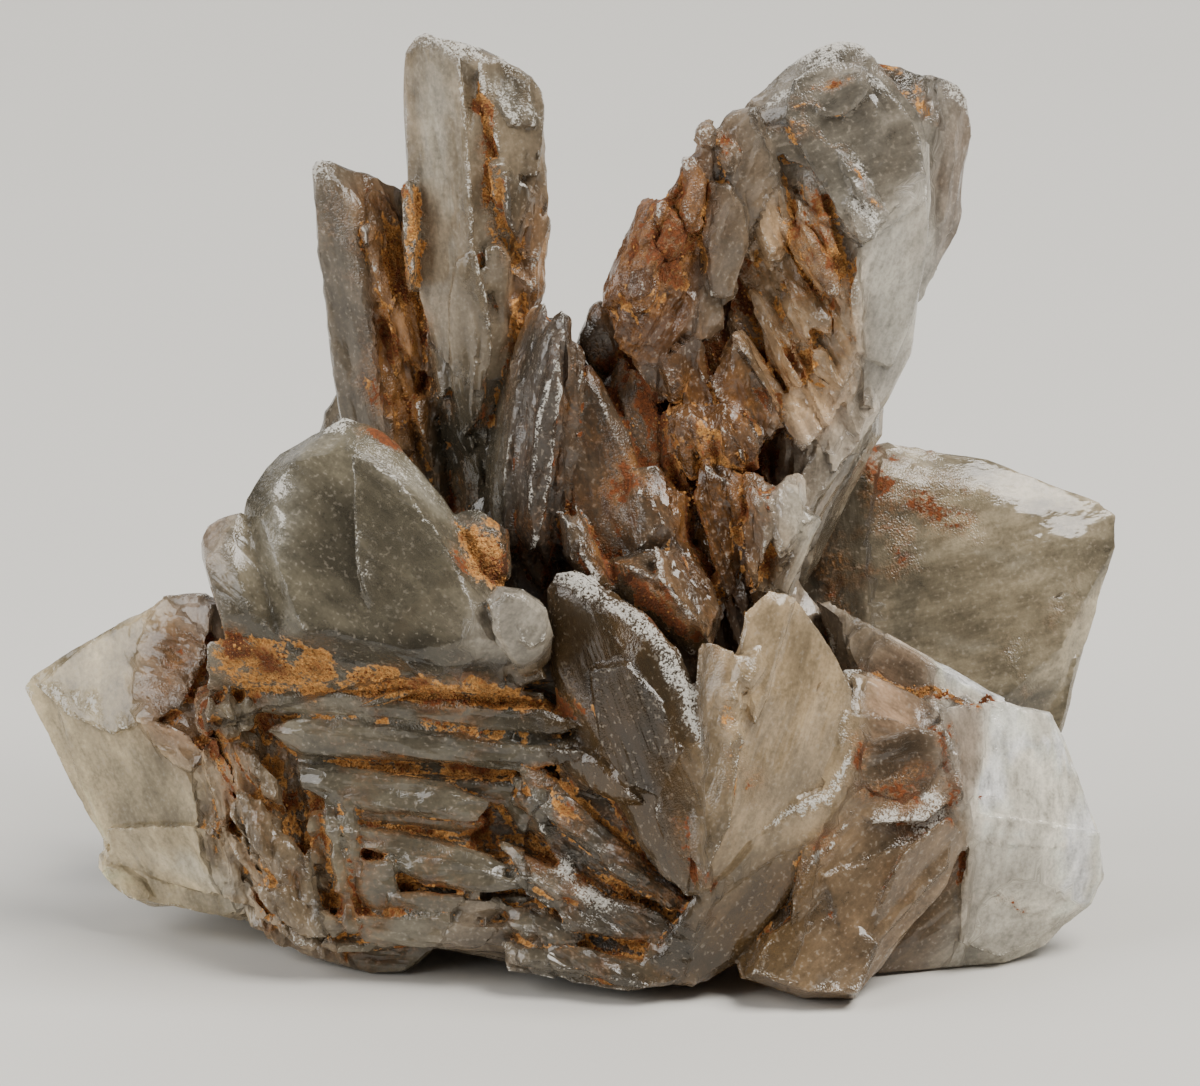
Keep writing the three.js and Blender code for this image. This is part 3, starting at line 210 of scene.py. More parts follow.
PLATES = (
    # the stack's level plates, edge on, from the top down
    Plate(((-34.8, 24.1), (-30, 24.5), (-20, 24), (-12, 23.3), (-5, 22.4), (-2.2, 21.1),
          (-4, 20.1), (-12, 20.7), (-17, 21.5), (-23, 21.9), (-30, 22.1), (-34.4, 22.8)), 0.9,
          2.0, 0.7),
    Plate(((-32.8, 20.3), (-31, 21.3), (-25.5, 21.9), (-19, 20.8), (-12.5, 19.8), (-5.5, 19.1),
          (-0.8, 18.5), (-4, 17.3), (-10, 16.7), (-18, 17.3), (-25, 17.8), (-30, 18.3)), 1.1, 2.2,
          0.7, tone=-0.5),
    Plate(((-29.7, 17.1), (-26.5, 17.1), (-20.8, 16.2), (-15, 15.1), (-10.8, 13.3), (-12.2, 11.5),
          (-17, 11.7), (-22.8, 12.5), (-27, 13.5), (-29.5, 14.9)), 1.1, 2.4, 0.7),
    Plate(((-25.4, 11.3), (-22, 10.9), (-16, 9.9), (-11, 8.3), (-7.6, 6.5), (-12, 6.7),
          (-18, 7.9), (-23.8, 8.7)), 0.9, 2.0, 0.7),
    Plate(((-20.2, 8.3), (-16, 8.4), (-10, 6.7), (-6.8, 4.9), (-12, 4.4), (-17, 5.3),
          (-20.4, 6.6)), 1.0, 2.0, 0.7),
    Plate(((-23.6, 7.7), (-20.6, 7.7), (-19.8, 4.3), (-21.5, 2), (-23.8, 3.5), (-24.6, 5.5)),
          1.0),
    Plate(((-20.8, 4.2), (-16, 4.3), (-10, 3.8), (-8, 2.6), (-12, 1.8), (-18, 2.3), (-21.2, 2.9)),
          0.9, 1.8, 0.7),
    Plate(((-24.8, 2.3), (-20, 1.8), (-15, 2.1), (-9.8, 0.9), (-11.8, -1.1), (-18, -1.1),
          (-23.2, -0.2)), 0.9, 1.8, 0.7),
    # the upright slivers and the rough ground at the stack's left
    Plate(((-27.5, 13.7), (-26.4, 13.9), (-25.8, 8.5), (-25, 3.5), (-23.8, 0.3), (-25, 0.3),
          (-26.2, 4.5), (-27, 9)), 0.9, 1.6, 0.6),
    Plate(((-25.6, 13.5), (-24.4, 13.3), (-24, 8.5), (-23.2, 4.5), (-22.4, 1), (-23.6, 1.3),
          (-24.6, 5.5), (-25.3, 9.5)), 0.9, 1.6, 0.6),
    Plate(((-34.2, 5.1), (-31.4, 5), (-26.8, 2.9), (-24.8, 0.9), (-26.4, 0.2), (-30, 0.9),
          (-33.4, 3.3)), 1.0, 1.8, 0.7),
    Plate(((-36.4, 14.5), (-33.8, 13.5), (-30, 8.5), (-27.5, 3.5), (-28.2, 2.3), (-31.8, 5.1),
          (-35, 9.5)), 0.7, 1.6, 0.6),
    Plate(((-33.8, 17.5), (-31.5, 16.5), (-30, 13.5), (-31, 12.3), (-33.2, 14.5)), 0.7, 1.6, 0.6,
          20),
    Plate(((-36, 19), (-33.8, 18.3), (-31.8, 15.5), (-33, 14.7), (-35.2, 16.7)), 0.7, 1.6, 0.6,
          -20),
    Plate(((-33.2, 9.5), (-31, 10), (-28.5, 7.3), (-27.8, 4.5), (-30, 5.5), (-32, 7.3)), 0.7, 1.6,
          0.6, 15),
    Plate(((-39.6, 22.7), (-38.6, 24.1), (-37.8, 22.9), (-38, 21.1), (-39.2, 20.7)), 1.4, 2.4,
          0.5),
    Plate(((-37.6, 23.1), (-36.6, 24.5), (-35.8, 23.3), (-36, 21.3), (-37.2, 20.9)), 1.6, 2.4,
          0.5),
    Plate(((-35.6, 22.9), (-34.7, 23.9), (-33.8, 22.7), (-34.2, 20.9), (-35.2, 20.5)), 1.4, 2.2,
          0.5),
    # the slanting ones at its right
    Plate(((-8.3, 16.8), (-5.5, 16.7), (-1.8, 13.3), (2.2, 9.3), (6.2, 5.3), (9.2, 3.1),
          (6.8, 2.9), (2, 6.3), (-3, 10.3), (-6.5, 13.8)), 1.2, 2.2, 0.65),
    Plate(((-5.2, 17.9), (-0.8, 18.3), (2.2, 16), (4.2, 13.5), (1.8, 13.5), (-2, 14.9)), 0.6, 1.8,
          0.7),
    Plate(((-8, 14.5), (-5.5, 12.3), (-4, 10), (-5.2, 9.3), (-8, 10.5), (-9.5, 12.3)), 0.6, 1.6,
          0.6),
    Plate(((-9.7, 9.7), (-6.5, 8.5), (-2.5, 5.7), (1.2, 3.9), (0, 2.9), (-4, 3.3), (-7.8, 5.9)),
          1.3, 2.2, 0.6),
    Plate(((-1, 9.7), (1.2, 10), (4, 7.5), (6.2, 5.3), (4.5, 5.1), (1.2, 6.9)), 1.3, 2.0, 0.6),
    Plate(((-4.4, 3.9), (0, 4.5), (5.2, 3), (9, 0.7), (6.8, -0.7), (1.8, -0.1), (-3, 0.9)), 1.0,
          2.0, 0.7),
    Plate(((-8.8, 3), (-5.5, 3.3), (-2.5, 1.5), (-1, -0.3), (-4, -1), (-7.5, 0), (-9.2, 1.5)),
          0.8, 1.8, 0.7),
    Plate(((-9.5, -0.5), (-4, -0.9), (2, -1.5), (6, -2.7), (4.5, -5), (2.5, -4.7), (0, -3),
          (-4, -2.7), (-8.5, -2.5)), 0.9, 2.0, 0.75),
    Plate(((5.5, 0.5), (9, 1), (11.2, -1.5), (9, -4), (6.5, -4.3), (4.5, -5), (4, -2.5)), 0.6,
          1.6),
    # what fills the seam between the two leaf-shaped blades
    Plate(((10, 29.5), (13.3, 28.7), (14.6, 23.5), (14, 17.5), (12.8, 11.3), (10.2, 6.3),
          (8.8, 8.5), (10.2, 14.5), (10.9, 19.5), (10.2, 24.5)), 1.4, 1.6, 0.6),
    Plate(((13.5, 28), (16, 28.7), (16.8, 26.7), (15.2, 24.5), (13.6, 25.5)), 1.6, 1.8, 0.6, 20),
    Plate(((11.4, 25.3), (13.8, 25.5), (14.2, 23.5), (12.4, 22.7), (11.2, 23.7)), 2.0, 1.8, 0.6,
          -20),
    Plate(((10.2, 28), (11.6, 28.3), (12, 25.5), (10.8, 24.5)), 1.6, 1.6, 0.6),
    Plate(((12.2, 22), (14.2, 22.3), (14.8, 19.5), (13, 18.5)), 1.6, 1.6, 0.6, 15),
    Plate(((14.2, 32.3), (16.8, 34.5), (19.5, 33.5), (18.2, 29.5), (17, 24.5), (15.6, 21.3),
          (14.2, 24.5), (13.8, 29.5)), 0.5, 1.4, 0.8, tone=0.3),
    # the brown blade under them
    Plate(((24.2, 15), (24.3, 13.5), (23.2, 11.3), (21.5, 8.3), (19.6, 4.9), (17, 1.7),
          (13.8, -1.7), (11.6, -2.7), (9, -4.9), (6.4, -4.3), (5, -2.5), (6.8, 1), (9.4, 4.7),
          (14.5, 8.7), (18.2, 11.3), (20, 13.8)), 1.5, 1.8, 0.88, tone=-0.9),
    # the lower right, in thin curved sheets, and the pale crystal beyond
    Plate(((24.8, 26.1), (28.5, 25.1), (32.5, 23.1), (33.7, 21.9), (32.7, 19.9), (29, 20.9),
          (24.8, 21.7)), 0.7, 1.2, 0.85, tone=0.2),
    Plate(((24.4, 22.3), (29, 21.5), (33, 20.3), (34.8, 18.9), (36, 13.5), (36.5, 9), (34.5, 4.5),
          (30.5, 0.5), (26.2, -4), (21.5, -5), (19, -2.5), (19, 3.5), (20.5, 8.5), (23.6, 13.5)),
          0.4, 1.0, 0.93, tone=-0.2),
    Plate(((30.5, 8.5), (34.8, 12), (36.2, 10.5), (35.5, 7.3), (33, 3.5), (30, 0), (28, -3),
          (26.2, -4.7), (25, -2.7), (28, 3)), 0.25, 0.9, 0.9),
    Plate(((33.4, 22.3), (38.8, 23.3), (38.4, 17.5), (37.6, 11.5), (36.8, 8.3), (35.8, 13.5),
          (34.8, 18.3)), 0.3, 1.0, 0.85),
    Plate(((38.5, 23.5), (44.8, 22.2), (46.2, 19.5), (48.5, 14), (49.8, 10.5), (46, 8.5), (40, 9),
          (37.5, 10.5), (36.8, 16.5)), 0.3, 1.0, 0.9, 2, 4, 0.6),
    Plate(((37.5, 12.3), (44, 10.3), (50.2, 10.3), (50.4, 5.5), (49.2, 3), (44, -0.5), (40, -2),
          (36, -0.5), (36.2, 5)), 0.3, 1.0, 0.9, 2, -3, 0.1),
    # the tall tower's two sides and the rib between them; their tones paint the light: the left
    # side and the rib paler where lit, and the upper right side paler under its highlight
    Plate(((-19.3, 88.3), (-18, 89.4), (-16, 89.3), (-13.8, 87.7), (-13.2, 81.5), (-12.8, 73.5),
          (-12.6, 63.5), (-13.2, 55.5), (-16, 53.5), (-17.6, 60.5), (-18.6, 68.5), (-19.2, 78.5)),
          0.3, 0.8, 0.9, -8, 0, 0.3),
    Plate(((-12, 87.1), (-10, 87.5), (-7, 85.9), (-5.5, 83.9), (-5.7, 78.5), (-6.2, 75.5),
          (-9.5, 76.3), (-11.4, 82.3)), 0.3, 0.8, 0.9, 8, 0, 0.5),
    Plate(((-9.6, 75.9), (-6.3, 74.5), (-5.7, 70.3), (-6.3, 67.3), (-8, 68.3), (-9.5, 72)), 0.2,
          1.0, 0.8, 12, 0, -1.0),
    Plate(((-14.5, 67.3), (-12.6, 68.5), (-11.2, 63.5), (-10.6, 58.5), (-11.8, 52), (-13.4, 49.5),
          (-14.8, 55.5), (-15, 62.5)), 0.6, 1.2, 0.7, tone=0.6),
    Plate(((-17.2, 60.3), (-14.8, 60), (-13.2, 53.5), (-12, 49.7), (-13.2, 47.7), (-15.5, 49.5),
          (-17, 54.5)), 0.4, 1.2, 0.7, tone=-1.2),
    # the big lens's flat side, the clay ledge under it, and the lobe at its foot
    Plate(((-24.3, 48.3), (-20, 45.9), (-16, 40.5), (-14.2, 35), (-10, 29.5), (-9.5, 24.7),
          (-16, 24.1), (-22, 29.5), (-24, 37.5)), 0.25, 0.7, 0.92, 4, 0, 0.5),
    Plate(((-38.8, 29.5), (-35, 29.4), (-30, 28.5), (-25, 26.7), (-20, 25.7), (-15, 24.9),
          (-6, 24.1), (-5.5, 23.2), (-15, 23.5), (-25, 24.1), (-35, 24.3), (-38.8, 24.7)), 0.6,
          1.6, 0.8),
    Plate(((-11, 32.9), (-9.5, 34.3), (-7.5, 34.3), (-5.5, 32.7), (-4.7, 30), (-5.2, 27.5),
          (-7, 25.7), (-8.5, 26.3), (-9.5, 28.5), (-10.8, 30.5)), 0.8, 2.4, 0.75, tone=0.6),
    # the spear's sides
    Plate(((-56.8, 24.9), (-51, 29.4), (-45, 32.6), (-38.6, 33.2), (-39.4, 27.5), (-41.8, 22.9),
          (-48.8, 20.1), (-53.8, 22.1)), 0.3, 0.8, 0.94, 0, 6, -0.6),
    Plate(((-54.8, 23.3), (-48.8, 21.9), (-41.8, 20.9), (-36.4, 17), (-37.2, 9.7), (-45, 8.5),
          (-49.6, 9.2), (-52.4, 15.5)), 0.3, 0.8, 0.94, 0, -3, 0.8),
    Plate(((-49.6, 10.7), (-45, 10.3), (-37.6, 10.9), (-30.4, 5.5), (-33, 3), (-40, 4.3),
          (-45, 5.5), (-48.8, 7.3)), 0.3, 0.8, 0.9, 0, -12, 1.1),
    # the fan's two plain faces
    Plate(((19, 85.3), (22, 87.3), (26.2, 87.1), (28.5, 84.7), (30.5, 82.5), (31.8, 80),
          (32.2, 77), (32.5, 73.5), (29.2, 71.9), (26.4, 69.5), (24.5, 70.5), (22.5, 74.5),
          (20, 78.5), (18.5, 81.5)), 0.4, 0.8, 0.93, tone=-0.2),
    Plate(((32.4, 73.9), (32.7, 71), (32.1, 66.3), (30.5, 60.5), (28.8, 56.9), (25.2, 58.3),
          (24.9, 63.5), (25.3, 68.7), (29, 72.1)), 0.2, 0.8, 0.93, tone=0.2),
    # the leaf-shaped blades' own facets
    Plate(((-1.2, 26.7), (2.5, 27.3), (6.4, 23.3), (8, 18.9), (5.6, 14.3), (2.2, 15.9),
          (0, 19.3)), 0.25, 0.6, 0.88, tone=-1.0),
    Plate(((8.6, 19.1), (10, 19.4), (11.6, 17), (13.5, 13.9), (12.8, 11.5), (10.2, 8.9),
          (8.2, 8.2), (6.4, 9.9), (5.4, 12.9), (6.8, 16)), 0.5, 0.8, 0.88, tone=1.0),
    # clay that fills the seam between the two towers
    Plate(((-23, 72.3), (-20.4, 69.5), (-19, 64.5), (-17.4, 60.5), (-16, 56.7), (-17.6, 56.3),
          (-20, 59.5), (-22, 63.5), (-23.2, 67.7)), 0.3, 1.4, 0.7),
    # the ridges that slant down the fan's pitted face
    Plate(((23.2, 78.5), (24.2, 78.3), (26.2, 75.7), (28.4, 72.3), (28, 71.3), (26.6, 72.3),
          (24.8, 75)), 0.35, 1.2, 0.6, -10),
    Plate(((19.8, 76.7), (21.2, 76.5), (22.2, 73), (23.2, 68.5), (22.4, 67.3), (21.2, 70.3),
          (20.2, 73.5)), 0.35, 1.2, 0.6, -15),
    Plate(((18.5, 70.7), (20, 71), (21.5, 68.7), (22.8, 65.5), (21.8, 64.3), (20, 66.7),
          (18.8, 68.7)), 0.35, 1.2, 0.6, -10),
    Plate(((17, 64.5), (18.5, 65), (20, 62.5), (21.2, 59), (20, 58.5), (18.4, 61)), 0.35, 1.2,
          0.6, -15),
    Plate(((15, 61.3), (16.5, 61.7), (18.2, 58.5), (20, 55.1), (18.8, 54.5), (16.8, 57.3)), 0.35,
          1.2, 0.6, -10),
    Plate(((20, 59), (22.2, 58.5), (23.8, 55), (23, 53.5), (20.8, 56)), 0.35, 1.2, 0.6, 10),
    # the blunt lobes up its left edge
    Plate(((10, 80.5), (11.2, 80.9), (12.2, 79.9), (11.4, 78.3), (10.4, 78.5)), 0.6, 2.0, 0.6),
    Plate(((12.2, 78.5), (13.5, 78.9), (14.2, 77.5), (13.5, 75.7), (12.4, 76.3)), 0.8, 2.0, 0.6),
    Plate(((8.8, 77), (10, 77.3), (10.4, 75), (9.8, 70.5), (8.6, 69.5), (8, 73.5)), 0.6, 1.8,
          0.7),
    Plate(((11.2, 75), (13, 74.5), (14.2, 72.3), (14.5, 68.5), (13.2, 63.5), (10.8, 63.5),
          (10, 68.5)), 0.5, 1.4),
    Plate(((5.5, 73), (7.2, 72.7), (8, 69.5), (7.2, 67.3), (5.6, 68)), 0.7, 1.8, 0.7),
    Plate(((3.6, 70.3), (5, 70.9), (5.6, 67.3), (5, 63.5), (3.6, 61.5), (2.2, 63.5)), 0.5, 1.6,
          0.7),
    # the blades low in the valley
    Plate(((-2.8, 43.5), (0, 37.5), (1.2, 34.3), (-0.4, 35), (-2.5, 38.3)), 0.7, 1.6, 0.6),
    Plate(((5, 39), (6.8, 38.7), (9, 35.5), (11.2, 32.3), (10.6, 29.5), (8, 32.3), (5.5, 35.7)),
          0.7, 1.8, 0.7),
    Plate(((14.5, 45.7), (15.7, 45.5), (16.8, 42), (16.5, 37.5), (15, 33.5), (13.8, 34.5),
          (14.2, 40.5)), 0.7, 1.8, 0.7),
    Plate(((16.6, 44.3), (20, 45.5), (20.6, 43), (19.6, 39.5), (17.8, 37.5), (16.8, 40.5)), 0.5,
          1.6, 0.7),
)


class Mark(NamedTuple):
    """A streak or a patch on the front, centred `at` the sheet's point, that reaches
    `half` each way along `runs` and `wide` to each side."""

    at: tuple
    half: float
    wide: float
    runs: tuple = (0, 1)
    strength: float = 1.0


MARKS = {
    "clay": (
        Mark((-26.5, 26.3), 6.0, 1.4, (20, -3), 3.0), Mark((-18.9, 70), 6.0, 1.0, (0, 1), 1.7),
        Mark((42.4, 26.7), 3.0, 1.0, (-1, 6), 1.3), Mark((14.5, 16.5), 4.0, 1.2, (3, -7), 0.9),
        Mark((-11.3, 81.5), 4.5, 0.6, (2, -7), 1.6), Mark((-10.3, 73), 6, 0.9, (2, -10), 1.3),
        Mark((-7.5, 64), 6, 1.6, (-1, 6)), Mark((-21.7, 67.3), 6, 2.8, (5, -6), 1.5),
        Mark((-20.5, 51.5), 8, 1.7, (6, -13)), Mark((-19.2, 74.3), 1.6, 1.2),
        Mark((5, 63.5), 10, 3.5, (6, 11), 0.7), Mark((25.8, 75.3), 4.4, 0.6, (4, -6), 1.6),
        Mark((22, 72), 4.0, 1.0, (3, -6)), Mark((23, 67.5), 4.5, 1.2, (3, -7)),
        Mark((20, 68.5), 4.0, 1.0, (3, -7)), Mark((30.2, 84.7), 5.0, 0.9, (5, -6), 1.7),
        Mark((22.6, 85.1), 4.8, 0.45, (7, 3), 1.3), Mark((21.2, 82.2), 3.2, 0.45, (6, -1), 1.2),
        Mark((20.8, 79.9), 3.6, 0.5, (6, -1), 1.4), Mark((10.5, 49), 7, 3.4, (6, -7)),
        Mark((-11.6, 37.7), 4.4, 2.2, (2, -4), 3.0), Mark((-32, 27.1), 8, 2.6, (20, -3), 3.2),
        Mark((-16, 24.6), 12, 1.4, (20, -2), 3.2), Mark((-4, 12.3), 5, 1.4, (5, -4), 0.8),
        Mark((-8, 17.3), 4, 0.9, (5, -3), 0.8), Mark((12.5, 19.5), 9, 0.6, (0, 1)),
        Mark((38.3, 13.4), 1.4, 0.6, (1, 0), 1.2), Mark((42.4, 26.3), 3.4, 0.8, (-1, 6)),
        Mark((33, 24.3), 6, 0.6, (8, -2), 2.0), Mark((40, 3.8), 5, 0.4, (8, -2), 0.8),
        Mark((-20.2, 39.8), 2.6, 0.3, (6, 1), 0.9),
    ),
    "dark": (
        Mark((-25, 33.5), 9.0, 1.4, (13, -11), 0.6), Mark((29, 28), 6.0, 1.5, (8, -5), 0.7),
        Mark((44, 34.5), 5.0, 3.0, (5, -1), 0.3), Mark((-7, 75.7), 2.4, 1.4, (4, -3), 0.7),
        Mark((29.5, 18.7), 3.5, 1.6, (6, -2), 0.4), Mark((35, 34.5), 6, 4.0, (5, -1), 0.35),
        Mark((-23, 28.5), 9.0, 2.2, (20, -3), 0.9), Mark((-13.5, 26.7), 6.0, 2.0, (20, -3), 0.8),
        Mark((8.2, 54.7), 3.0, 1.2, (2, -5)), Mark((9.5, 48), 2.2, 1.0, (1, -4)),
        Mark((13, 40.5), 3.2, 1.2, (1, -4)), Mark((15.5, 51.5), 2.4, 1.2, (1, -4)),
        Mark((-13, 49), 6.0, 1.8, (1, 6), 0.8), Mark((14, 77), 4.5, 2.0, (2, 6), 0.5),
        Mark((-4, 38), 4.0, 1.0, (1, 5)),
    ),
    "frost": (
        # The first mark here paints the highlight on the big lens's left bevel.
        Mark((-31.9, 42.7), 3.4, 1.0, (1, 8), 1.3), Mark((22.4, 8.9), 5.0, 0.35, (4, 7), 1.1),
        Mark((22.8, 88.1), 4.6, 1.1, (7, 2), 1.7), Mark((17, 83.5), 5.0, 0.5, (6, 5)),
        Mark((35.5, 84), 1.5, 1.0), Mark((26.2, 76), 2.4, 0.5, (4, -5), 1.0),
        Mark((26.4, 71.5), 1.5, 0.6, (2, -4), 1.3), Mark((27.2, 85.9), 1.0, 0.6, (1, -2), 1.3),
        # The second mark here paints the highlight on the tall tower's upper right side.
        Mark((-13.2, 88.3), 5.0, 0.9, (9, -3)), Mark((-8, 82.5), 3.0, 1.2, (4, -2)),
        Mark((-27.8, 76.7), 1.6, 1.4), Mark((-19.8, 46.5), 6.0, 0.9, (8, -6), 0.75),
        Mark((-26, 51.1), 2.6, 0.6, (6, 1)), Mark((3.2, 31.7), 7.5, 0.8, (10, -8), 1.2),
        # The right disc's rim marks, from (23.8, 27.5) down to (19, 12.7), paint the bright
        # highlight along its edge.
        Mark((-2.2, 35.2), 3.0, 1.4, (6, -4), 1.0), Mark((23.8, 27.5), 3.8, 0.4, (4, -9), 1.2),
        Mark((24.5, 21.5), 4.5, 0.4, (0, 9), 1.2), Mark((23.6, 16), 3.0, 0.4, (-3, -6), 1.2),
        Mark((19, 12.7), 5.0, 0.4, (-9, -4), 0.9), Mark((8.2, 24), 6.0, 0.9, (3, -8), 1.2),
        Mark((-2, 5), 5.0, 1.2, (8, -4)), Mark((28.5, 11.8), 1.8, 0.7, (5, 2), 1.6),
        Mark((31.5, 11.3), 2.2, 0.9, (5, 3), 1.6), Mark((33, 13.8), 1.2, 0.7, (3, 1), 1.4),
        Mark((-53, 23.7), 5.0, 0.7, (9, -3)), Mark((-57, 24.5), 1.4, 1.0),
    ),
    "rust": (
        Mark((-21.2, 49.5), 3.0, 0.9, (8, -5), 1.2), Mark((30, 48), 5.0, 1.0, (8, -2), 1.3),
        Mark((36.5, 45), 3.0, 1.0, (8, -3), 1.0), Mark((24.5, 32.5), 4.0, 1.2, (4, -7), 1.2),
        Mark((33, 46.3), 5.0, 1.2, (6, -2), 1.1), Mark((5.5, 51), 4.5, 1.6, (2, -6), 1.1),
        Mark((30.5, 13.5), 3.0, 1.2, (5, -1), 1.2), Mark((35, 14.5), 3.0, 0.8, (1, -6), 1.2),
        Mark((21.5, 9), 4.0, 1.6, (4, 7), 0.9), Mark((6.5, 70), 6, 3.0, (4, 8), 0.8),
        Mark((12.2, 78.5), 1.8, 1.4), Mark((5, 33.5), 6, 2.8, (6, -6), 1.3),
        Mark((2, 43.5), 6, 2.0, (1, 6), 1.1), Mark((-41.5, 24.5), 6, 2.6, (7, -3)),
        Mark((-38.5, 19.5), 4, 1.6, (2, -6)), Mark((9, 8.5), 7, 1.2, (3, -8)),
        Mark((29, 15), 5.5, 1.2, (6, 1), 1.3), Mark((25.6, 17), 3.0, 1.4, (1, 6), 1.0),
        Mark((34.2, 19), 4.6, 0.8, (2, -6), 1.5), Mark((40.1, 19.7), 1.8, 0.7, (0, 1), 1.4),
        Mark((27.5, 45.7), 5.0, 2.6, (6, -3), 1.3), Mark((32, 43.5), 3.5, 1.8, (6, -3), 1.1),
        Mark((29, 39), 3.5, 2.2, (4, -5), 1.0), Mark((35.5, 41.5), 3.0, 1.4, (6, -3), 0.9),
        Mark((25, 37.5), 4.0, 1.6, (1, -5), 1.0), Mark((47.5, 33.5), 3.0, 1.2, (-2, -5), 0.55),
    ),
    "pale": (
        Mark((41, 37.5), 3.0, 0.5, (8, -1), 0.5), Mark((36, 29.5), 3.5, 0.6, (8, -2), 0.4),
        # These two paint highlights, on the tall tower's upper right side and on the big lens's
        # left bevel.
        Mark((-8, 82.7), 3.0, 0.8, (5, -3), 1.0), Mark((-31.9, 42.5), 4.2, 1.4, (1, 8), 1.1),
        # The long band at (28.8, 64.5) paints the fan's smooth face paler where it faces the
        # light.
        Mark((-18.5, 44.7), 5.0, 1.0, (8, -6), 0.8), Mark((28.8, 64.5), 11, 2.6, (-4, 11)),
        Mark((20, 41.5), 7, 3.0, (-2, 7)), Mark((-40.5, 6.3), 8, 1.8, (12, -4)),
        Mark((-16.2, 78.5), 12, 1.8, (0, 1)), Mark((44, 13.5), 9, 3.5, (2, -8)),
    ),
}

# Zones and marks
ZONE_BLEND = 0.12  # how softly one crystal's looks pass into the next one's
PALE = "#C6C1B2"  # cloudy bands, and painted highlights where pale marks stand for them
RAGGED = 1.3  # how far a mark's outline strays, mm
MARK_STRENGTH = 0.85
MARK_DEPTH = 5.0  # how far in depth a mark reaches, mm

# Plates
PLATE_GRIP = 5.0  # how far in depth a plate feels for what it grows on, mm
STEEPEST = 0.9  # the most that a plate's plane rises in depth
RIM_EDGE = 0.3  # half the thickness of a plate's rim, mm
PLATE_ROOT = 1.0  # how far a plate is sunk, mm
PLATE_TONE = 0.3  # how far the facets of one plate differ in shade
IN_FRONT = -80  # a depth in front of every crystal, mm
JOINED = 0.002  # corners closer than this are one, mm
FLAT = math.radians(2.5)  # faces that turn less are one facet
FACET_SEED = 3

# Small blades and crumbs
HOST_CELL = 0.7  # the coarse surface that small blades stand on, mm
CROWDING = 3.0  # points tried in each square of the spacing, before the close ones go
BLADE_TUMBLE = 0.13  # share of a half turn by which small blades stray
PATCH_NOISE = (3.5, 21)  # cell in mm, seed
PATCHES = 0.35  # how patchily small blades grow
GROWN = (0.2, 0.9)  # from bare to grown over
CLEAR_OF_FLOOR = (2.0, 5.0)  # heights between which small blades start, mm
# A small blade of length one, along Z, with +Y out of the face; its foot is sunk in it.
FIN_CORNERS = (
    (0.00, 0.10, 0.60), (0.03, 0.24, 0.34), (-0.03, 0.22, 0.28), (0.05, 0.16, -0.05),
    (-0.06, 0.19, 0.02), (0.09, -0.06, 0.26), (-0.08, -0.05, 0.30), (0.07, -0.14, -0.22),
    (-0.09, -0.12, -0.24), (0.00, 0.08, -0.40),
)
CRUMB_CORNERS = (
    (0.50, 0.05, 0.02), (-0.46, 0.10, -0.06), (0.06, 0.42, 0.05), (-0.05, -0.47, 0.04),
    (0.10, 0.05, 0.38), (-0.06, -0.02, -0.36), (0.30, 0.28, -0.16), (-0.28, -0.26, 0.20),
    (0.26, -0.28, -0.12),
)
CRUMBLING = (0.45, 1.0)  # stain thick enough to shed crumbs
CRUMBS_FROM = (0.5, 2.0)  # heights between which crumbs start, mm

# Weathering. Cells are in mm, and a crystal's own are measured beside, along and across
# its growth.
ROOTED = (0.2, 3.0)  # heights between which the shape starts to give, mm
SWAYS = ((14.0, 0.40, 101), (5.0, 0.06, 111))  # cell, depth, seed
RIDGE_SWELL = (0.04, 0.20)  # how far a ridge stands over the smoothed face, mm
SEAM_SWELL = (0.03, 0.18)  # how far a seam lies under it, mm
STEP_NOISE = ((1.6, 11.0, 2.4), 31)  # cell, seed
STEP_COUNT = 3
STEP_EDGE = (0.35, 0.65)  # the share of a step over which it rises
FLUTES = (((1.9, 7.5, 2.2), 0.9, 51), ((0.85, 3.2, 1.0), 0.4, 53))  # cell, depth, seed
CRESTS, TROUGHS = (0.55, 0.95), (-0.25, 0.35)  # flutes that chip, and flutes that fill
PIT_NOISE = ((0.9, 2.6, 1.2), 37)
PITTED = (0.2, 0.8)
CHIP_NOISE = (1.3, 41)
CHIPPED = (-0.1, 0.7)
GRIT_CELL = 0.55
CLAY_FILL = 0.35  # share of a seam that its clay fills
CREASE = math.radians(24)  # edges that turn more stay crisp

# Where clay, frost and shade lie
CLODS = ((2.8, 1.0, 61), (1.2, 0.6, 62))  # cell, share, seed
WISPS = (((5.0, 11.0, 5.0), 1.0, 63), ((1.8, 4.5, 1.8), 0.6, 64))
SHELTER_REACH = 6.0  # how far off a neighbour still shelters, mm
SKY_RISES = (-1.1, -0.5, 0.0, 0.5, 1.1)
OFF_FACE = 0.05  # how far off a face its rays start, mm
GRAZING = 0.15  # rays closer to the face than this don't count
SEAM_HOLD, SHELTER_HOLD = 0.7, 0.6  # how well seams and shelter hold clay
SHELTERED = (0.3, 0.85)  # share of the sky hidden, from too open to hold clay
FACET_TONE = 0.38  # how far facets differ in shade
CLEAVAGE = (3.1, 9.0, 3.7)  # blocks beside, along and across the growth, mm
BLOCK_KEYS = (31, 57, 83)  # spread the blocks' shades
BLOCK_SHADES = 97
INNER_TONE = 0.14  # how far blocks differ in shade
CLOUDED = 0.12  # clearness below which nothing shows through

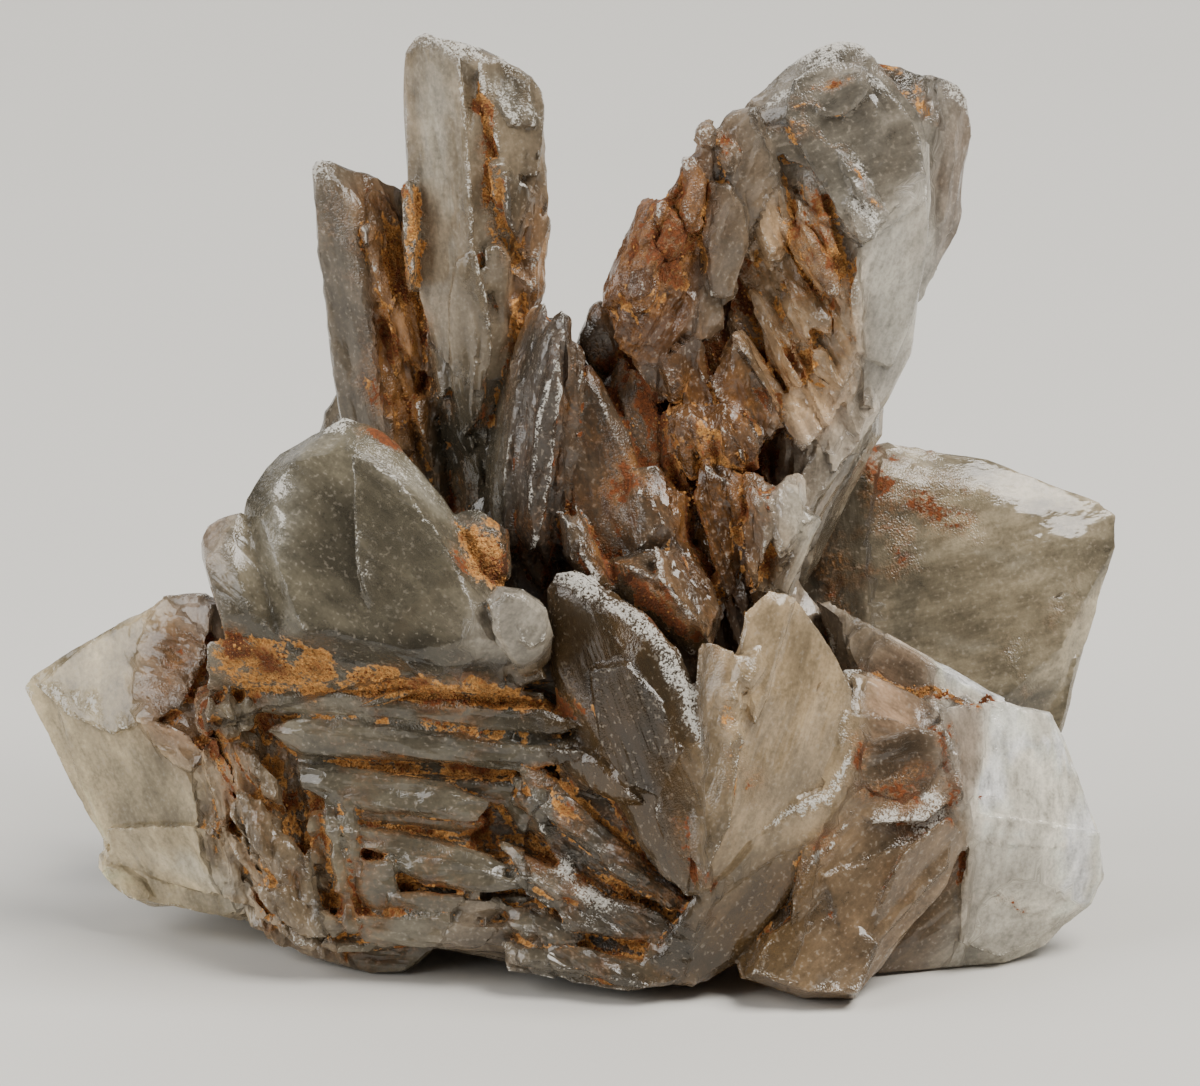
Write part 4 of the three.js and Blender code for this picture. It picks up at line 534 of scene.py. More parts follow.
# The materials' patterns
FINE_TONE = (0.5, 0.35, 0.15)  # how far fibre, flecks and grit shade the crystal
STREAK_TONE = 0.2
VEIN_START, VEIN_MOST = 0.8, 0.35  # the fleck that starts a milky vein; the milkiest
CLEAR_TINT = 0.2
CLAY_MOTTLE = (0.5, 1.35)  # shade of the darkest and the palest clay
CLAY_GRAINS = (0.5, 5)  # grains and patches of loose clay, mm
RUSTY = (0.42, 0.62)  # from ochre to rusty patches
POLISH = (0.04, 0.18)  # roughness of bare crystal
COATS = (("film", 0.42, 0.12), ("frost", 0.55, 0.1), ("stain", 0.9, 0.0))  # roughness, clearness
PATTERNS = (  # name; squeeze beside, along and across the growth; size in mm; detail
    ("streak", (1.0, 0.1, 1.0), 0.7, 2.0),
    ("fibre", (1.0, 0.45, 1.0), 1.2, 2.0),
    ("flecks", (1.0, 0.8, 1.0), 0.4, 1.0),
    ("grit", (1.0, 1.0, 1.0), 0.2, 1.0),
)
NOISE_LOW, NOISE_HIGH = 0.3, 0.7  # where a noise texture's values mostly lie
MASKS = (  # attribute; swing with fibre, flecks and grit; where it starts and is full; most
    ("stain", (-1.1, 0.8, 0.2), 0.42, 0.62, 1.0),
    ("film", (-0.8, 0.7, 0.0), 0.15, 0.95, 0.8),
    ("frost", (0.5, 0.9, 1.1), 0.36, 0.8, 0.88),
    ("rust", (0.3, 0.8, 0.0), 0.3, 0.75, 1.0),
)
BUMP_DEPTH = 0.2  # mm
STREAK_DEPTH, GRAIN_DEPTH = 0.16, 0.7  # shares of the bump

# Stage
FLOOR_REACH = 4.0  # m
LAMP_AIM = (0.0, 0.0, 0.045)
# Name, place and size in metres, power in watts, colour
LAMPS = (
    ("key", (0.45, -0.15, 0.80), (0.62, 0.48), 13.5, "#FFFBF4"),
    ("left", (-0.75, -0.25, 0.45), (0.75, 0.60), 7.5, "#FFFDFA"),
    ("back", (-0.10, 0.70, 0.60), (1.30, 1.00), 4.0, "#FFFFFF"),
)
ROOM_STRENGTH = 0.23
VIEW_WIDTH = 120.0  # across the frame at the sheet, mm
VIEW_MIDDLE = 39.2  # the frame's middle, up the sheet, mm

# Large odd numbers that scramble a cell's place into a random value
HASH = (73856093, 19349663, 83492791)
SEED_HASH = 2654435761
MIX_HASH = 1274126177


# ---------------------------------------------------------------- numbers


def noise(points, cell, seed):
    """Smooth random values from -1 to 1 that change over `cell` millimetres."""
    places = points / np.asarray(cell, float)
    corner = np.floor(places).astype(np.int64)
    share = places - corner
    share = share * share * (3 - 2 * share)
    total = np.zeros(len(points))
    for step in np.ndindex(2, 2, 2):
        keys = (corner + step) * HASH
        key = keys[:, 0] ^ keys[:, 1] ^ keys[:, 2] ^ seed * SEED_HASH
        key = (key ^ (key >> 13)) * MIX_HASH & 0x7FFFFFFF
        key = (key ^ (key >> 16)) & 0xFFFF
        near = np.where(step, share, 1 - share)
        total += near[:, 0] * near[:, 1] * near[:, 2] * (key / 32767.5 - 1)
    return total


def ramp(values, low, high):
    """0 below `low`, 1 above `high`, smooth between them."""
    share = np.clip((values - low) / (high - low), 0, 1)
    return share * share * (3 - 2 * share)


def unit(vectors):
    """The vectors at length one."""
    return vectors / np.maximum(np.linalg.norm(vectors, axis=-1, keepdims=True), 1e-9)


# ---------------------------------------------------------------- meshes


def read(mesh):
    """Vertices in millimetres and their normals."""
    count = len(mesh.vertices)
    places = np.empty(count * 3, np.float32)
    mesh.vertices.foreach_get("co", places)
    normals = np.empty(count * 3, np.float32)
    mesh.vertices.foreach_get("normal", normals)
    return places.reshape(-1, 3).astype(float), normals.reshape(-1, 3).astype(float)


def write(mesh, places):
    """Puts the vertices at these places."""
    mesh.vertices.foreach_set("co", places.astype(np.float32).ravel())
    mesh.update()


def attribute(mesh, name, values):
    """Stores a number or a vector for each vertex, for a node tree to read."""
    kind, field = ("FLOAT", "value") if values.ndim == 1 else ("FLOAT_VECTOR", "vector")
    layer = mesh.attributes.get(name) or mesh.attributes.new(name, kind, "POINT")
    layer.data.foreach_set(field, np.ascontiguousarray(values, np.float32).ravel())


def shown(name, mesh):
    """A new object in the scene for this mesh."""
    made = bpy.data.objects.new(name, mesh)
    bpy.context.scene.collection.objects.link(made)
    return made


def baked(worked, name):
    """The plain mesh that an object's modifiers make of it. The object goes."""
    graph = bpy.context.evaluated_depsgraph_get()
    made = bpy.data.meshes.new_from_object(worked.evaluated_get(graph), depsgraph=graph)
    made.name = name
    bpy.data.objects.remove(worked)
    return made


def modified(mesh, kind, name, **settings):
    """The mesh after one modifier."""
    worked = shown(name, mesh)
    modifier = worked.modifiers.new(kind.lower(), kind)
    for setting, value in settings.items():
        setattr(modifier, setting, value)
    return baked(worked, name)


def packed_copy():
    """The packed solid's mesh in millimetres, with its loose triangles joined."""
    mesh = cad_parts[SOLID].data.copy()
    mesh.transform(Matrix.Scale(1 / MM, 4))
    work = bmesh.new()
    work.from_mesh(mesh)
    bmesh.ops.remove_doubles(work, verts=work.verts, dist=JOINED)
    work.to_mesh(mesh)
    work.free()
    for layer in list(mesh.attributes):
        if layer.name in ("UVMap", "Color"):
            mesh.attributes.remove(layer)
    mesh.materials.clear()
    return mesh


def met_at(solid, across, up):
    """Where the front of a solid is met at a point of the sheet, or None."""
    return solid.ray_cast(Vector(on_sheet(across, up, IN_FRONT)), Vector(AWAY))[0]


def with_plates(mesh):
    """Adds the smaller crystals of the front to the solid, each as its own hull."""
    solid = tree_of(mesh)
    work = bmesh.new()
    work.from_mesh(mesh)
    number_of = work.faces.layers.int.new("plate")
    for number, plate in enumerate(PLATES, 1):
        rim = np.array(plate.rim)
        middle = rim.mean(0)
        spots = np.vstack([rim, middle, 0.5 * (rim + middle)])
        hits = [met_at(solid, *spot) for spot in spots]
        met = np.array([hit is not None for hit in hits])
        depths = np.array([hit.y - ORIGIN[1] for hit in hits if hit is not None])
        spots = spots[met] - middle
        near = np.abs(depths - np.median(depths)) < PLATE_GRIP
        ways = np.column_stack([np.ones(near.sum()), spots[near]])
        level, aside, upward = np.linalg.lstsq(ways, depths[near], rcond=None)[0]
        aside = np.clip(aside, -STEEPEST, STEEPEST) + math.tan(math.radians(plate.turn))
        upward = np.clip(upward, -STEEPEST, STEEPEST) + math.tan(math.radians(plate.lean))

        def corner(spot, out):
            depth = level + (spot - middle) @ (aside, upward) - plate.proud - out
            return on_sheet(*spot, depth)

        corners = [corner(spot, out) for spot in rim for out in (RIM_EDGE, -RIM_EDGE)]
        face = middle + plate.face * (rim - middle)
        corners += [corner(spot, plate.thick / 2) for spot in face]
        corners += [corner(spot, -plate.thick / 2 - plate.proud - PLATE_ROOT) for spot in face]
        made = bmesh.ops.convex_hull(work, input=[work.verts.new(c) for c in corners])
        for item in made["geom"]:
            if isinstance(item, bmesh.types.BMFace):
                item[number_of] = number
        spare = [item for item in made["geom_interior"] if isinstance(item, bmesh.types.BMVert)]
        bmesh.ops.delete(work, geom=spare, context="VERTS")
    work.to_mesh(mesh)
    work.free()
    return mesh


def neighbours(mesh):
    """The two ends of each edge, and how many edges each vertex has."""
    ends = np.empty(len(mesh.edges) * 2, np.int32)
    mesh.edges.foreach_get("vertices", ends)
    ends = ends.reshape(-1, 2)
    return ends, np.bincount(ends.ravel(), minlength=len(mesh.vertices))


def smoothed(places, ends, counts, rounds):
    """The places after each has moved half way to its neighbours' middle, `rounds` times."""
    eased = places.copy()
    for _ in range(rounds):
        total = np.empty_like(eased)
        for axis in range(3):
            column = eased[:, axis]
            total[:, axis] = np.bincount(
                ends[:, 0], column[ends[:, 1]], len(eased)
            ) + np.bincount(ends[:, 1], column[ends[:, 0]], len(eased))
        eased = 0.5 * eased + 0.5 * total / counts[:, None]
    return eased


def largest_body(mesh):
    """Drops every loose speck and keeps the one main body."""
    ends, _ = neighbours(mesh)
    label = np.arange(len(mesh.vertices))
    while True:
        least = np.minimum(label[ends[:, 0]], label[ends[:, 1]])
        new = label.copy()
        np.minimum.at(new, ends[:, 0], least)
        np.minimum.at(new, ends[:, 1], least)
        new = new[new]
        if (new == label).all():
            break
        label = new
    main = np.bincount(label).argmax()
    specks = np.nonzero(label != main)[0]
    if len(specks):
        work = bmesh.new()
        work.from_mesh(mesh)
        work.verts.ensure_lookup_table()
        bmesh.ops.delete(work, geom=[work.verts[i] for i in specks], context="VERTS")
        work.to_mesh(mesh)
        work.free()


# ---------------------------------------------------------------- zones and marks


class Ground:
    """What the crystals are like at some points: whose they are, and how they look."""

    def __init__(self, points):
        score = np.empty((len(points), len(CRYSTALS)), np.float32)
        for column, crystal in enumerate(CRYSTALS):
            local = self.local(points, crystal)
            score[:, column] = ((local / np.array(crystal.reach)) ** 2).sum(1)
        self.points = points
        self.owner = score.argmin(1)
        share = 1 / (score + ZONE_BLEND) ** 4
        self.share = share / share.sum(1, keepdims=True)

    @staticmethod
    def local(points, crystal):
        """The points beside the crystal's growth axis, along it, and in depth."""
        return (points - on_sheet(*crystal.at)) @ axes_along(crystal.grows).T

    def value(self, field):
        """A field of the crystals, blended from one to the next."""
        return self.share @ np.array([getattr(c, field) for c in CRYSTALS], np.float32)

    def colour(self):
        """The crystals' body colour, blended from one to the next."""
        return self.share @ np.array([linear(c.body) for c in CRYSTALS], np.float32)

    def grain(self):
        """Each point's place in its own crystal, so a streak follows the growth."""
        grain = np.empty((len(self.points), 3))
        for number, crystal in enumerate(CRYSTALS):
            mine = self.owner == number
            grain[mine] = self.local(self.points[mine], crystal)
        return grain

    def growth(self):
        """The growth axis at each point."""
        return np.array([axes_along(c.grows)[1] for c in CRYSTALS])[self.owner]


def marks_at(points, solid):
    """How strongly each kind of mark lies on each point."""
    ragged = points + RAGGED * np.stack([noise(points, 2.0, s) for s in (5, 6, 7)], 1)
    found = {}
    for kind, marks in MARKS.items():
        found[kind] = np.zeros(len(points))
        for mark in marks:
            hit = met_at(solid, *mark.at)
            if hit is None:
                raise RuntimeError(f"no crystal lies under the {kind} mark at {mark.at}")
            local = (ragged - np.array(hit)) @ axes_along(mark.runs).T
            away = ((local / np.array([mark.wide, mark.half, MARK_DEPTH])) ** 2).sum(1)
            cover = MARK_STRENGTH * mark.strength * np.exp(-away)
            found[kind] = np.maximum(found[kind], cover)
    return found


def shelter(points, normals, solid, reach):
    """The share of the sky that each point can't see within `reach`."""
    spread = [
        Vector((math.cos(turn) * math.cos(rise), math.sin(turn) * math.cos(rise), math.sin(rise)))
        for rise in SKY_RISES
        for turn in np.arange(6) * math.pi / 3 + rise
    ]
    blocked = np.zeros(len(points))
    for number, (point, normal) in enumerate(zip(points, normals)):
        facing = Vector(normal)
        start = Vector(point) + facing * OFF_FACE
        seen = met = 0.0
        for ray in spread:
            weight = ray.dot(facing)
            if weight > GRAZING:
                seen += weight
                if solid.ray_cast(start, ray, reach)[0] is not None:
                    met += weight
        blocked[number] = met / seen
    return blocked


# ---------------------------------------------------------------- node trees


def add_node(tree, kind, inputs=None, **settings):
    """Adds a node with its settings. `inputs` holds values, colours without their alpha,
    sockets to link, and nodes, each of which stands for its first output in use."""
    node = tree.nodes.new(kind)
    for setting, value in settings.items():
        setattr(node, setting, value)
    for key, value in (inputs or {}).items():
        socket = node.inputs[key]
        if isinstance(value, bpy.types.Node):
            value = next(output for output in value.outputs if output.enabled)
        if isinstance(value, bpy.types.NodeSocket):
            tree.links.new(value, socket)
        else:
            socket.default_value = (*value, 1.0) if socket.type == "RGBA" else value
    return node


def scatter_tree():
    """A node tree that sets copies of one piece on a surface: as close as Spacing,
    as thick as the surface's own `cover`, `size` times as large, along its `lean`."""
    tree = bpy.data.node_groups.new("Scatter", "GeometryNodeTree")
    for name, kind in (
        ("Geometry", "Geometry"),
        ("Piece", "Object"),
        ("Spacing", "Float"),
        ("Smallest", "Float"),
        ("Largest", "Float"),
        ("Tumble", "Float"),
        ("Seed", "Int"),
        ("Material", "Material"),
    ):
        tree.interface.new_socket(name, in_out="INPUT", socket_type="NodeSocket" + kind)
    tree.interface.new_socket("Geometry", in_out="OUTPUT", socket_type="NodeSocketGeometry")
    node = partial(add_node, tree)
    given = node("NodeGroupInput").outputs
    cover, lean, own_size = (
        node("GeometryNodeInputNamedAttribute", {"Name": name}, data_type=kind)
        for name, kind in (("cover", "FLOAT"), ("lean", "FLOAT_VECTOR"), ("size", "FLOAT"))
    )
    room = node("ShaderNodeMath", {0: given["Spacing"], 1: given["Spacing"]}, operation="MULTIPLY")
    crowd = node("ShaderNodeMath", {0: CROWDING, 1: room}, operation="DIVIDE")
    points = node(
        "GeometryNodeDistributePointsOnFaces",
        {
            "Mesh": given["Geometry"],
            "Distance Min": given["Spacing"],
            "Density Max": crowd,
            "Density Factor": cover,
            "Seed": given["Seed"],
        },
        distribute_method="POISSON",
    )
    upright = node("FunctionNodeAlignRotationToVector", {"Vector": lean}, axis="Z")
    faced = node(
        "FunctionNodeAlignRotationToVector",
        {"Rotation": upright, "Vector": points.outputs["Normal"]},
        axis="Y",
        pivot_axis="Z",
    )
    most = node(
        "ShaderNodeVectorMath", {0: (math.pi,) * 3, "Scale": given["Tumble"]}, operation="SCALE"
    )
    least = node("ShaderNodeVectorMath", {0: most, "Scale": -1.0}, operation="SCALE")
    turn = node(
        "FunctionNodeRandomValue",
        {0: least, 1: most, "Seed": given["Seed"]},
        data_type="FLOAT_VECTOR",
    )
    turned = node("FunctionNodeRotateRotation", {0: faced, 1: turn}, rotation_space="LOCAL")
    # Squaring the chance makes most pieces small and a few large.
    chance = node("FunctionNodeRandomValue", {"Seed": given["Seed"]}, data_type="FLOAT")
    squared = node("ShaderNodeMath", {0: chance, 1: chance}, operation="MULTIPLY")
    reach = node("ShaderNodeMapRange", {0: squared, 3: given["Smallest"], 4: given["Largest"]})
    size = node("ShaderNodeMath", {0: reach, 1: own_size}, operation="MULTIPLY")
    piece = node("GeometryNodeObjectInfo", {"Object": given["Piece"]}).outputs["Geometry"]
    copies = node(
        "GeometryNodeInstanceOnPoints",
        {"Points": points, "Instance": piece, "Rotation": turned, "Scale": size},
    )
    real = node("GeometryNodeRealizeInstances", {0: copies})
    coated = node("GeometryNodeSetMaterial", {"Geometry": real, "Material": given["Material"]})
    node("NodeGroupOutput", {0: coated})
    return tree


def scattered(host, corners, name, **inputs):
    """The mesh of the copies of a small piece that the scatter tree sets on the host
    mesh. The piece is the convex solid around its corners."""
    work = bmesh.new()
    for corner in corners:
        work.verts.new(corner)
    bmesh.ops.convex_hull(work, input=work.verts)
    bmesh.ops.recalc_face_normals(work, faces=work.faces)
    mesh = bpy.data.meshes.new(name)
    work.to_mesh(mesh)
    work.free()
    piece = shown(name + " pattern", mesh)
    tree = bpy.data.node_groups.get("Scatter") or scatter_tree()
    worked = shown(name, host)
    modifier = worked.modifiers.new("scatter", "NODES")
    modifier.node_group = tree
    sockets = {item.name: item.identifier for item in tree.interface.items_tree}
    for key, value in {"piece": piece, **inputs}.items():
        modifier[sockets[key.capitalize()]] = value
    made = baked(worked, name)
    bpy.data.objects.remove(piece)
    return made


# ---------------------------------------------------------------- making the pieces


def blade_host(solid, lift):
    """The surface that small blades stand on, with how thick and which way they grow."""
    host = modified(solid.copy(), "REMESH", "blade host", mode="VOXEL", voxel_size=HOST_CELL)
    places, normals = read(host)
    ground = Ground(places)
    growth = ground.growth()
    level = unit(growth - (growth * normals).sum(1, keepdims=True) * normals)
    patchy = ground.value("blades") + PATCHES * noise(places, *PATCH_NOISE)
    standing = ramp(places[:, 2], *CLEAR_OF_FLOOR)
    attribute(host, "cover", ramp(patchy, *GROWN) * standing)
    attribute(host, "size", ground.value("coarse"))
    attribute(host, "lean", level * math.cos(lift) + normals * math.sin(lift))
    return host


def weather(mesh, solid_tree, settings):
    """Bends, steps, chips and fills the fine mesh as growth, wear and clay leave it."""
    ends, counts = neighbours(mesh)
    places, normals = read(mesh)
    rooted = ramp(places[:, 2], *ROOTED)[:, None]
    sway = np.zeros_like(places)
    for cell, depth, seed in SWAYS:
        sway += depth * np.stack([noise(places, cell, seed + s) for s in range(3)], 1)
    write(mesh, places + rooted * sway)
    places, normals = read(mesh)
    eased = smoothed(places, ends, counts, settings.seam_rounds)
    swell = ((places - eased) * normals).sum(1)
    ridge = ramp(swell, *RIDGE_SWELL)
    seam = ramp(-swell, *SEAM_SWELL)
    ground = Ground(places)
    grain = ground.grain()
    relief = ground.value("relief")
    marks = marks_at(places, solid_tree)
    clay = np.clip(ground.value("stain") * seam + marks["clay"] + marks["rust"], 0, 1)
    steps = noise(grain, *STEP_NOISE) * STEP_COUNT
    rise = np.floor(steps) + ramp(steps - np.floor(steps), *STEP_EDGE)
    push = settings.step_depth / MM * rise / STEP_COUNT * (1 - seam) * (0.15 + relief)
    crest = np.zeros(len(places))
    for cell, depth, seed in FLUTES:
        ridged = 1 - 2 * np.abs(noise(grain, cell, seed))
        push += depth * relief * (ridged - 0.5)
        crest += 0.5 * ridged
    ridge = np.maximum(ridge, relief * ramp(crest, *CRESTS))
    seam = np.maximum(seam, relief * ramp(-crest, *TROUGHS))
    pits = ramp(noise(grain, *PIT_NOISE), *PITTED)
    push -= settings.pit_depth / MM * pits * relief
    bites = ramp(noise(places, *CHIP_NOISE), *CHIPPED)
    push -= settings.chip_depth / MM * bites * ridge
    grit = noise(places, GRIT_CELL, 43) + 0.6 * noise(places, 2.2 * GRIT_CELL, 47)
    push += settings.clay_depth / MM * clay * (0.5 + 0.8 * grit)
    places += rooted * (CLAY_FILL * clay * seam)[:, None] * (eased - places)
    places += rooted * push[:, None] * normals
    places[:, 2] = np.maximum(places[:, 2], 0.0)
    write(mesh, places)
    attribute(mesh, "ridge", ridge)
    attribute(mesh, "seam", seam)


def thinned(mesh, most):
    """The mesh with at most this many triangles, fewest on the flat faces."""
    sides = np.empty(len(mesh.polygons), np.int32)
    mesh.polygons.foreach_get("loop_total", sides)
    share = min(1.0, most / (sides - 2).sum())
    return modified(mesh, "DECIMATE", mesh.name, ratio=share)


def finish_fields(mesh, ridge, seam, tone, solid_tree, around):
    """Stores how stained and clear each vertex is, its white of bruised edges and painted
    highlights, and its body colour with painted shade in sheltered hollows. `tone` sets facets
    apart.
    """
    places, normals = read(mesh)
    ground = Ground(places)
    grain = ground.grain()
    marks = marks_at(places, solid_tree)
    hidden = shelter(places, normals, around, SHELTER_REACH)
    clods = sum(share * noise(places, cell, seed) for cell, share, seed in CLODS)
    wisps = sum(share * noise(grain, cell, seed) for cell, share, seed in WISPS)
    shown_pale, shown_clay = (np.clip(marks[kind], 0, 1) for kind in ("pale", "clay"))

    # Clay holds in seams and where it is sheltered, and lies on in marks and clods.
    held = SEAM_HOLD * seam + SHELTER_HOLD * ramp(hidden, *SHELTERED)
    caked = (marks["clay"] + marks["rust"]) * (0.5 + held)
    stain = (ground.value("stain") * held + caked) * (1 + 0.8 * clods)
    stain *= 1 - 0.8 * np.clip(marks["frost"] + shown_pale, 0, 1)
    film = ground.value("stain") * (0.3 + 0.5 * hidden) + 0.5 * marks["clay"] + 0.6 * marks["rust"]
    film *= (1 + 0.9 * clods) * (1 - shown_pale)
    rust = ground.value("rust") + 0.6 * marks["rust"] - 0.2 * shown_clay + 0.7 * clods
    frost = (ground.value("frost") * ridge * (1 - hidden) + marks["frost"]) * (1 - 0.5 * clods)

    # The crystal parts along its growth in blocks, each with its own shade.
    blocks = np.floor(grain / CLEAVAGE + 0.3 * wisps[:, None]).astype(int) @ BLOCK_KEYS
    inner = INNER_TONE * (blocks % BLOCK_SHADES / (BLOCK_SHADES // 2) - 1)
    clear = np.maximum(ground.value("clear") - CLOUDED, 0)
    clear = clear * (1 + 0.2 * tone - 0.35 * wisps) * (1 - 0.45 * shown_pale)
    shade = 1 + FACET_TONE * tone + 0.5 * wisps + inner
    # Painted shade: the body colour darkens where neighbours hide the sky, in hollows and seams;
    # the dark marks darken it too.
    shade = shade * (1 - 0.6 * marks["dark"]) * (1 - 0.4 * hidden)
    # Pale marks blend the body towards the cloudy colour; some of them are painted highlights.
    pale = 0.7 * shown_pale[:, None]
    body = ground.colour() * shade[:, None] * (1 - pale) + np.array(linear(PALE)) * pale

    crumbs = ramp(stain, *CRUMBLING) * (0.2 + ground.value("grit") + 0.6 * marks["clay"])
    for name, values, least, most in (
        ("body", body, 0.005, 0.9),
        ("stain", stain, 0, 1.5),
        ("film", film, 0, 1.5),
        ("rust", rust, 0, 1.0),
        ("frost", frost, 0, 0.8),
        ("clear", clear, 0, 0.9),
        ("relief", ground.value("relief"), 0, 1.0),
    ):
        attribute(mesh, name, np.clip(values, least, most))
    attribute(mesh, "grain", grain)
    attribute(mesh, "cover", np.clip(crumbs, 0, 1) * ramp(places[:, 2], *CRUMBS_FROM))
    attribute(mesh, "size", np.ones(len(places)))
    attribute(mesh, "lean", normals)


def tree_of(mesh):
    """The mesh's faces, ready for rays."""
    places, _ = read(mesh)
    faces = [tuple(face.vertices) for face in mesh.polygons]
    return BVHTree.FromPolygons([tuple(place) for place in places], faces)


def facet_tones(mesh):
    """One random value from -1 to 1 for each flat facet, by triangle number."""
    work = bmesh.new()
    work.from_mesh(mesh)
    leader = list(range(len(work.faces)))

    def lead(number):
        while leader[number] != number:
            leader[number] = leader[leader[number]]
            number = leader[number]
        return number

    for edge in work.edges:
        if len(edge.link_faces) == 2 and edge.calc_face_angle(math.pi) < FLAT:
            first, second = (lead(face.index) for face in edge.link_faces)
            leader[first] = second
    tones = np.random.default_rng(FACET_SEED).uniform(-1, 1, len(leader))
    made = np.array([tones[lead(number)] for number in range(len(leader))])
    number_of = work.faces.layers.int["plate"]
    for number, face in enumerate(work.faces):
        if face[number_of]:
            made[number] = PLATES[face[number_of] - 1].tone + PLATE_TONE * made[number]
    work.free()
    return made


# ---------------------------------------------------------------- materials


def new_material(name):
    """A new material, and the function that adds a node to it."""
    material = bpy.data.materials.new(name)
    material.use_nodes = True
    material.node_tree.nodes.clear()
    return material, partial(add_node, material.node_tree)


def selenite_material(finish):
    """Etched selenite with iron stain: satiny and smoky, glassier where it is clear, white grains
    where it is bruised and where highlights are painted, and matt ochre where clay sits in the
    seams."""
    material, node = new_material("selenite_etched")
    grain, body = (
        node("ShaderNodeAttribute", attribute_name=name).outputs["Vector"]
        for name in ("grain", "body")
    )
    level = {
        name: node("ShaderNodeAttribute", attribute_name=name).outputs["Fac"]
        for name in ("clear", "relief", "stain", "film", "frost", "rust")
    }

    # Fine patterns drawn out along the growth, each spread to fill 0 to 1.
    patterns = {}
    for name, squeeze, size, detail in PATTERNS:
        drawn = node("ShaderNodeMapping", {"Vector": grain, "Scale": squeeze})
        waves = node("ShaderNodeTexNoise", {"Vector": drawn, "Scale": 1 / size, "Detail": detail})
        patterns[name] = node(
            "ShaderNodeMapRange", {0: waves, 1: NOISE_LOW, 2: NOISE_HIGH}
        )
    streak, fibre, flecks, grit = patterns.values()
    joined = node("ShaderNodeCombineXYZ", {0: fibre, 1: flecks, 2: grit})
    strays = node("ShaderNodeVectorMath", {0: joined, 1: (0.5,) * 3}, operation="SUBTRACT")

    # Clay, iron film and frost break up along the patterns.
    masks = {}
    for name, shares, low, high, most in MASKS:
        own = level[name]
        stray = node("ShaderNodeVectorMath", {0: strays, 1: shares}, operation="DOT_PRODUCT")
        uneven = node("ShaderNodeMath", {0: own, 1: stray, 2: own}, operation="MULTIPLY_ADD")
        masks[name] = node(
            "ShaderNodeMapRange",
            {0: uneven, 1: low, 2: high, 4: most},
            interpolation_type="SMOOTHSTEP",
        )

    # The crystal's own shade, with milky veins and a tint where it is clear.
    fine = node("ShaderNodeVectorMath", {0: strays, 1: FINE_TONE}, operation="DOT_PRODUCT")
    lined = node("ShaderNodeMath", {0: streak, 1: STREAK_TONE, 2: fine}, operation="MULTIPLY_ADD")
    shade = node("ShaderNodeMath", {0: lined, 1: 1 - 0.5 * STREAK_TONE}, operation="ADD")
    colour = node("ShaderNodeVectorMath", {0: body, "Scale": shade}, operation="SCALE")
    veins = node("ShaderNodeMapRange", {0: flecks, 1: VEIN_START, 2: 1.0, 4: VEIN_MOST})
    tint = node("ShaderNodeMath", {0: level["clear"], 1: CLEAR_TINT}, operation="MULTIPLY")
    for share, over in ((veins, finish.milky), (tint, finish.clear)):
        colour = node("ShaderNodeMix", {0: share, 6: colour, 7: over}, data_type="RGBA")

    # Amber to brown iron film, and ochre to rusty clay.
    iron, ochre = (
        node("ShaderNodeMix", {0: share, 6: first, 7: second}, data_type="RGBA")
        for share, first, second in (
            (fibre, finish.iron_dark, finish.iron_amber),
            (grit, finish.ochre, finish.sand),
        )
    )
    rusty = node("ShaderNodeMix", {0: masks["rust"], 6: ochre, 7: finish.rust}, data_type="RGBA")
    mottle = node("ShaderNodeMapRange", {0: flecks, 3: CLAY_MOTTLE[0], 4: CLAY_MOTTLE[1]})
    clay = node("ShaderNodeVectorMath", {0: rusty, "Scale": mottle}, operation="SCALE")

    # Each coat takes over the colour, the roughness and the clearness where it lies.
    rough = node("ShaderNodeMapRange", {0: streak, 3: POLISH[0], 4: POLISH[1]})
    clear = level["clear"]
    coats = {"film": iron, "frost": finish.frost, "stain": clay}
    for name, coat_rough, coat_clear in COATS:
        share = masks[name]
        colour = node("ShaderNodeMix", {0: share, 6: colour, 7: coats[name]}, data_type="RGBA")
        rough = node("ShaderNodeMix", {0: share, 2: rough, 3: coat_rough})
        clear = node("ShaderNodeMix", {0: share, 2: clear, 3: coat_clear})

    # Growth lines, deeper where the face is rough, and grains in frost and clay.
    height = node("ShaderNodeMath", {0: fibre, 1: level["relief"]}, operation="MULTIPLY")
    grains = [
        (node("ShaderNodeMath", {0: grit, 1: level[name]}, operation="MULTIPLY"), GRAIN_DEPTH)
        for name in ("frost", "stain")
    ]
    for part, depth in [(streak, STREAK_DEPTH), *grains]:
        height = node("ShaderNodeMath", {0: part, 1: depth, 2: height}, operation="MULTIPLY_ADD")
    bump = node(
        "ShaderNodeBump", {"Height": height, "Distance": BUMP_DEPTH * MM, "Strength": 1.0}
    )
    surface = node(
        "ShaderNodeBsdfPrincipled",
        {
            "Base Color": colour,
            "Roughness": rough,
            "Transmission Weight": clear,
            "IOR": finish.ior,
            "Normal": bump,
        },
    )
    # Absorption gives the smoke that deepens where the crystal is thick.
    smoke = node(
        "ShaderNodeVolumeAbsorption", {"Color": finish.smoke, "Density": finish.smoke_density}
    )
    node("ShaderNodeOutputMaterial", {"Surface": surface, "Volume": smoke})
    return material


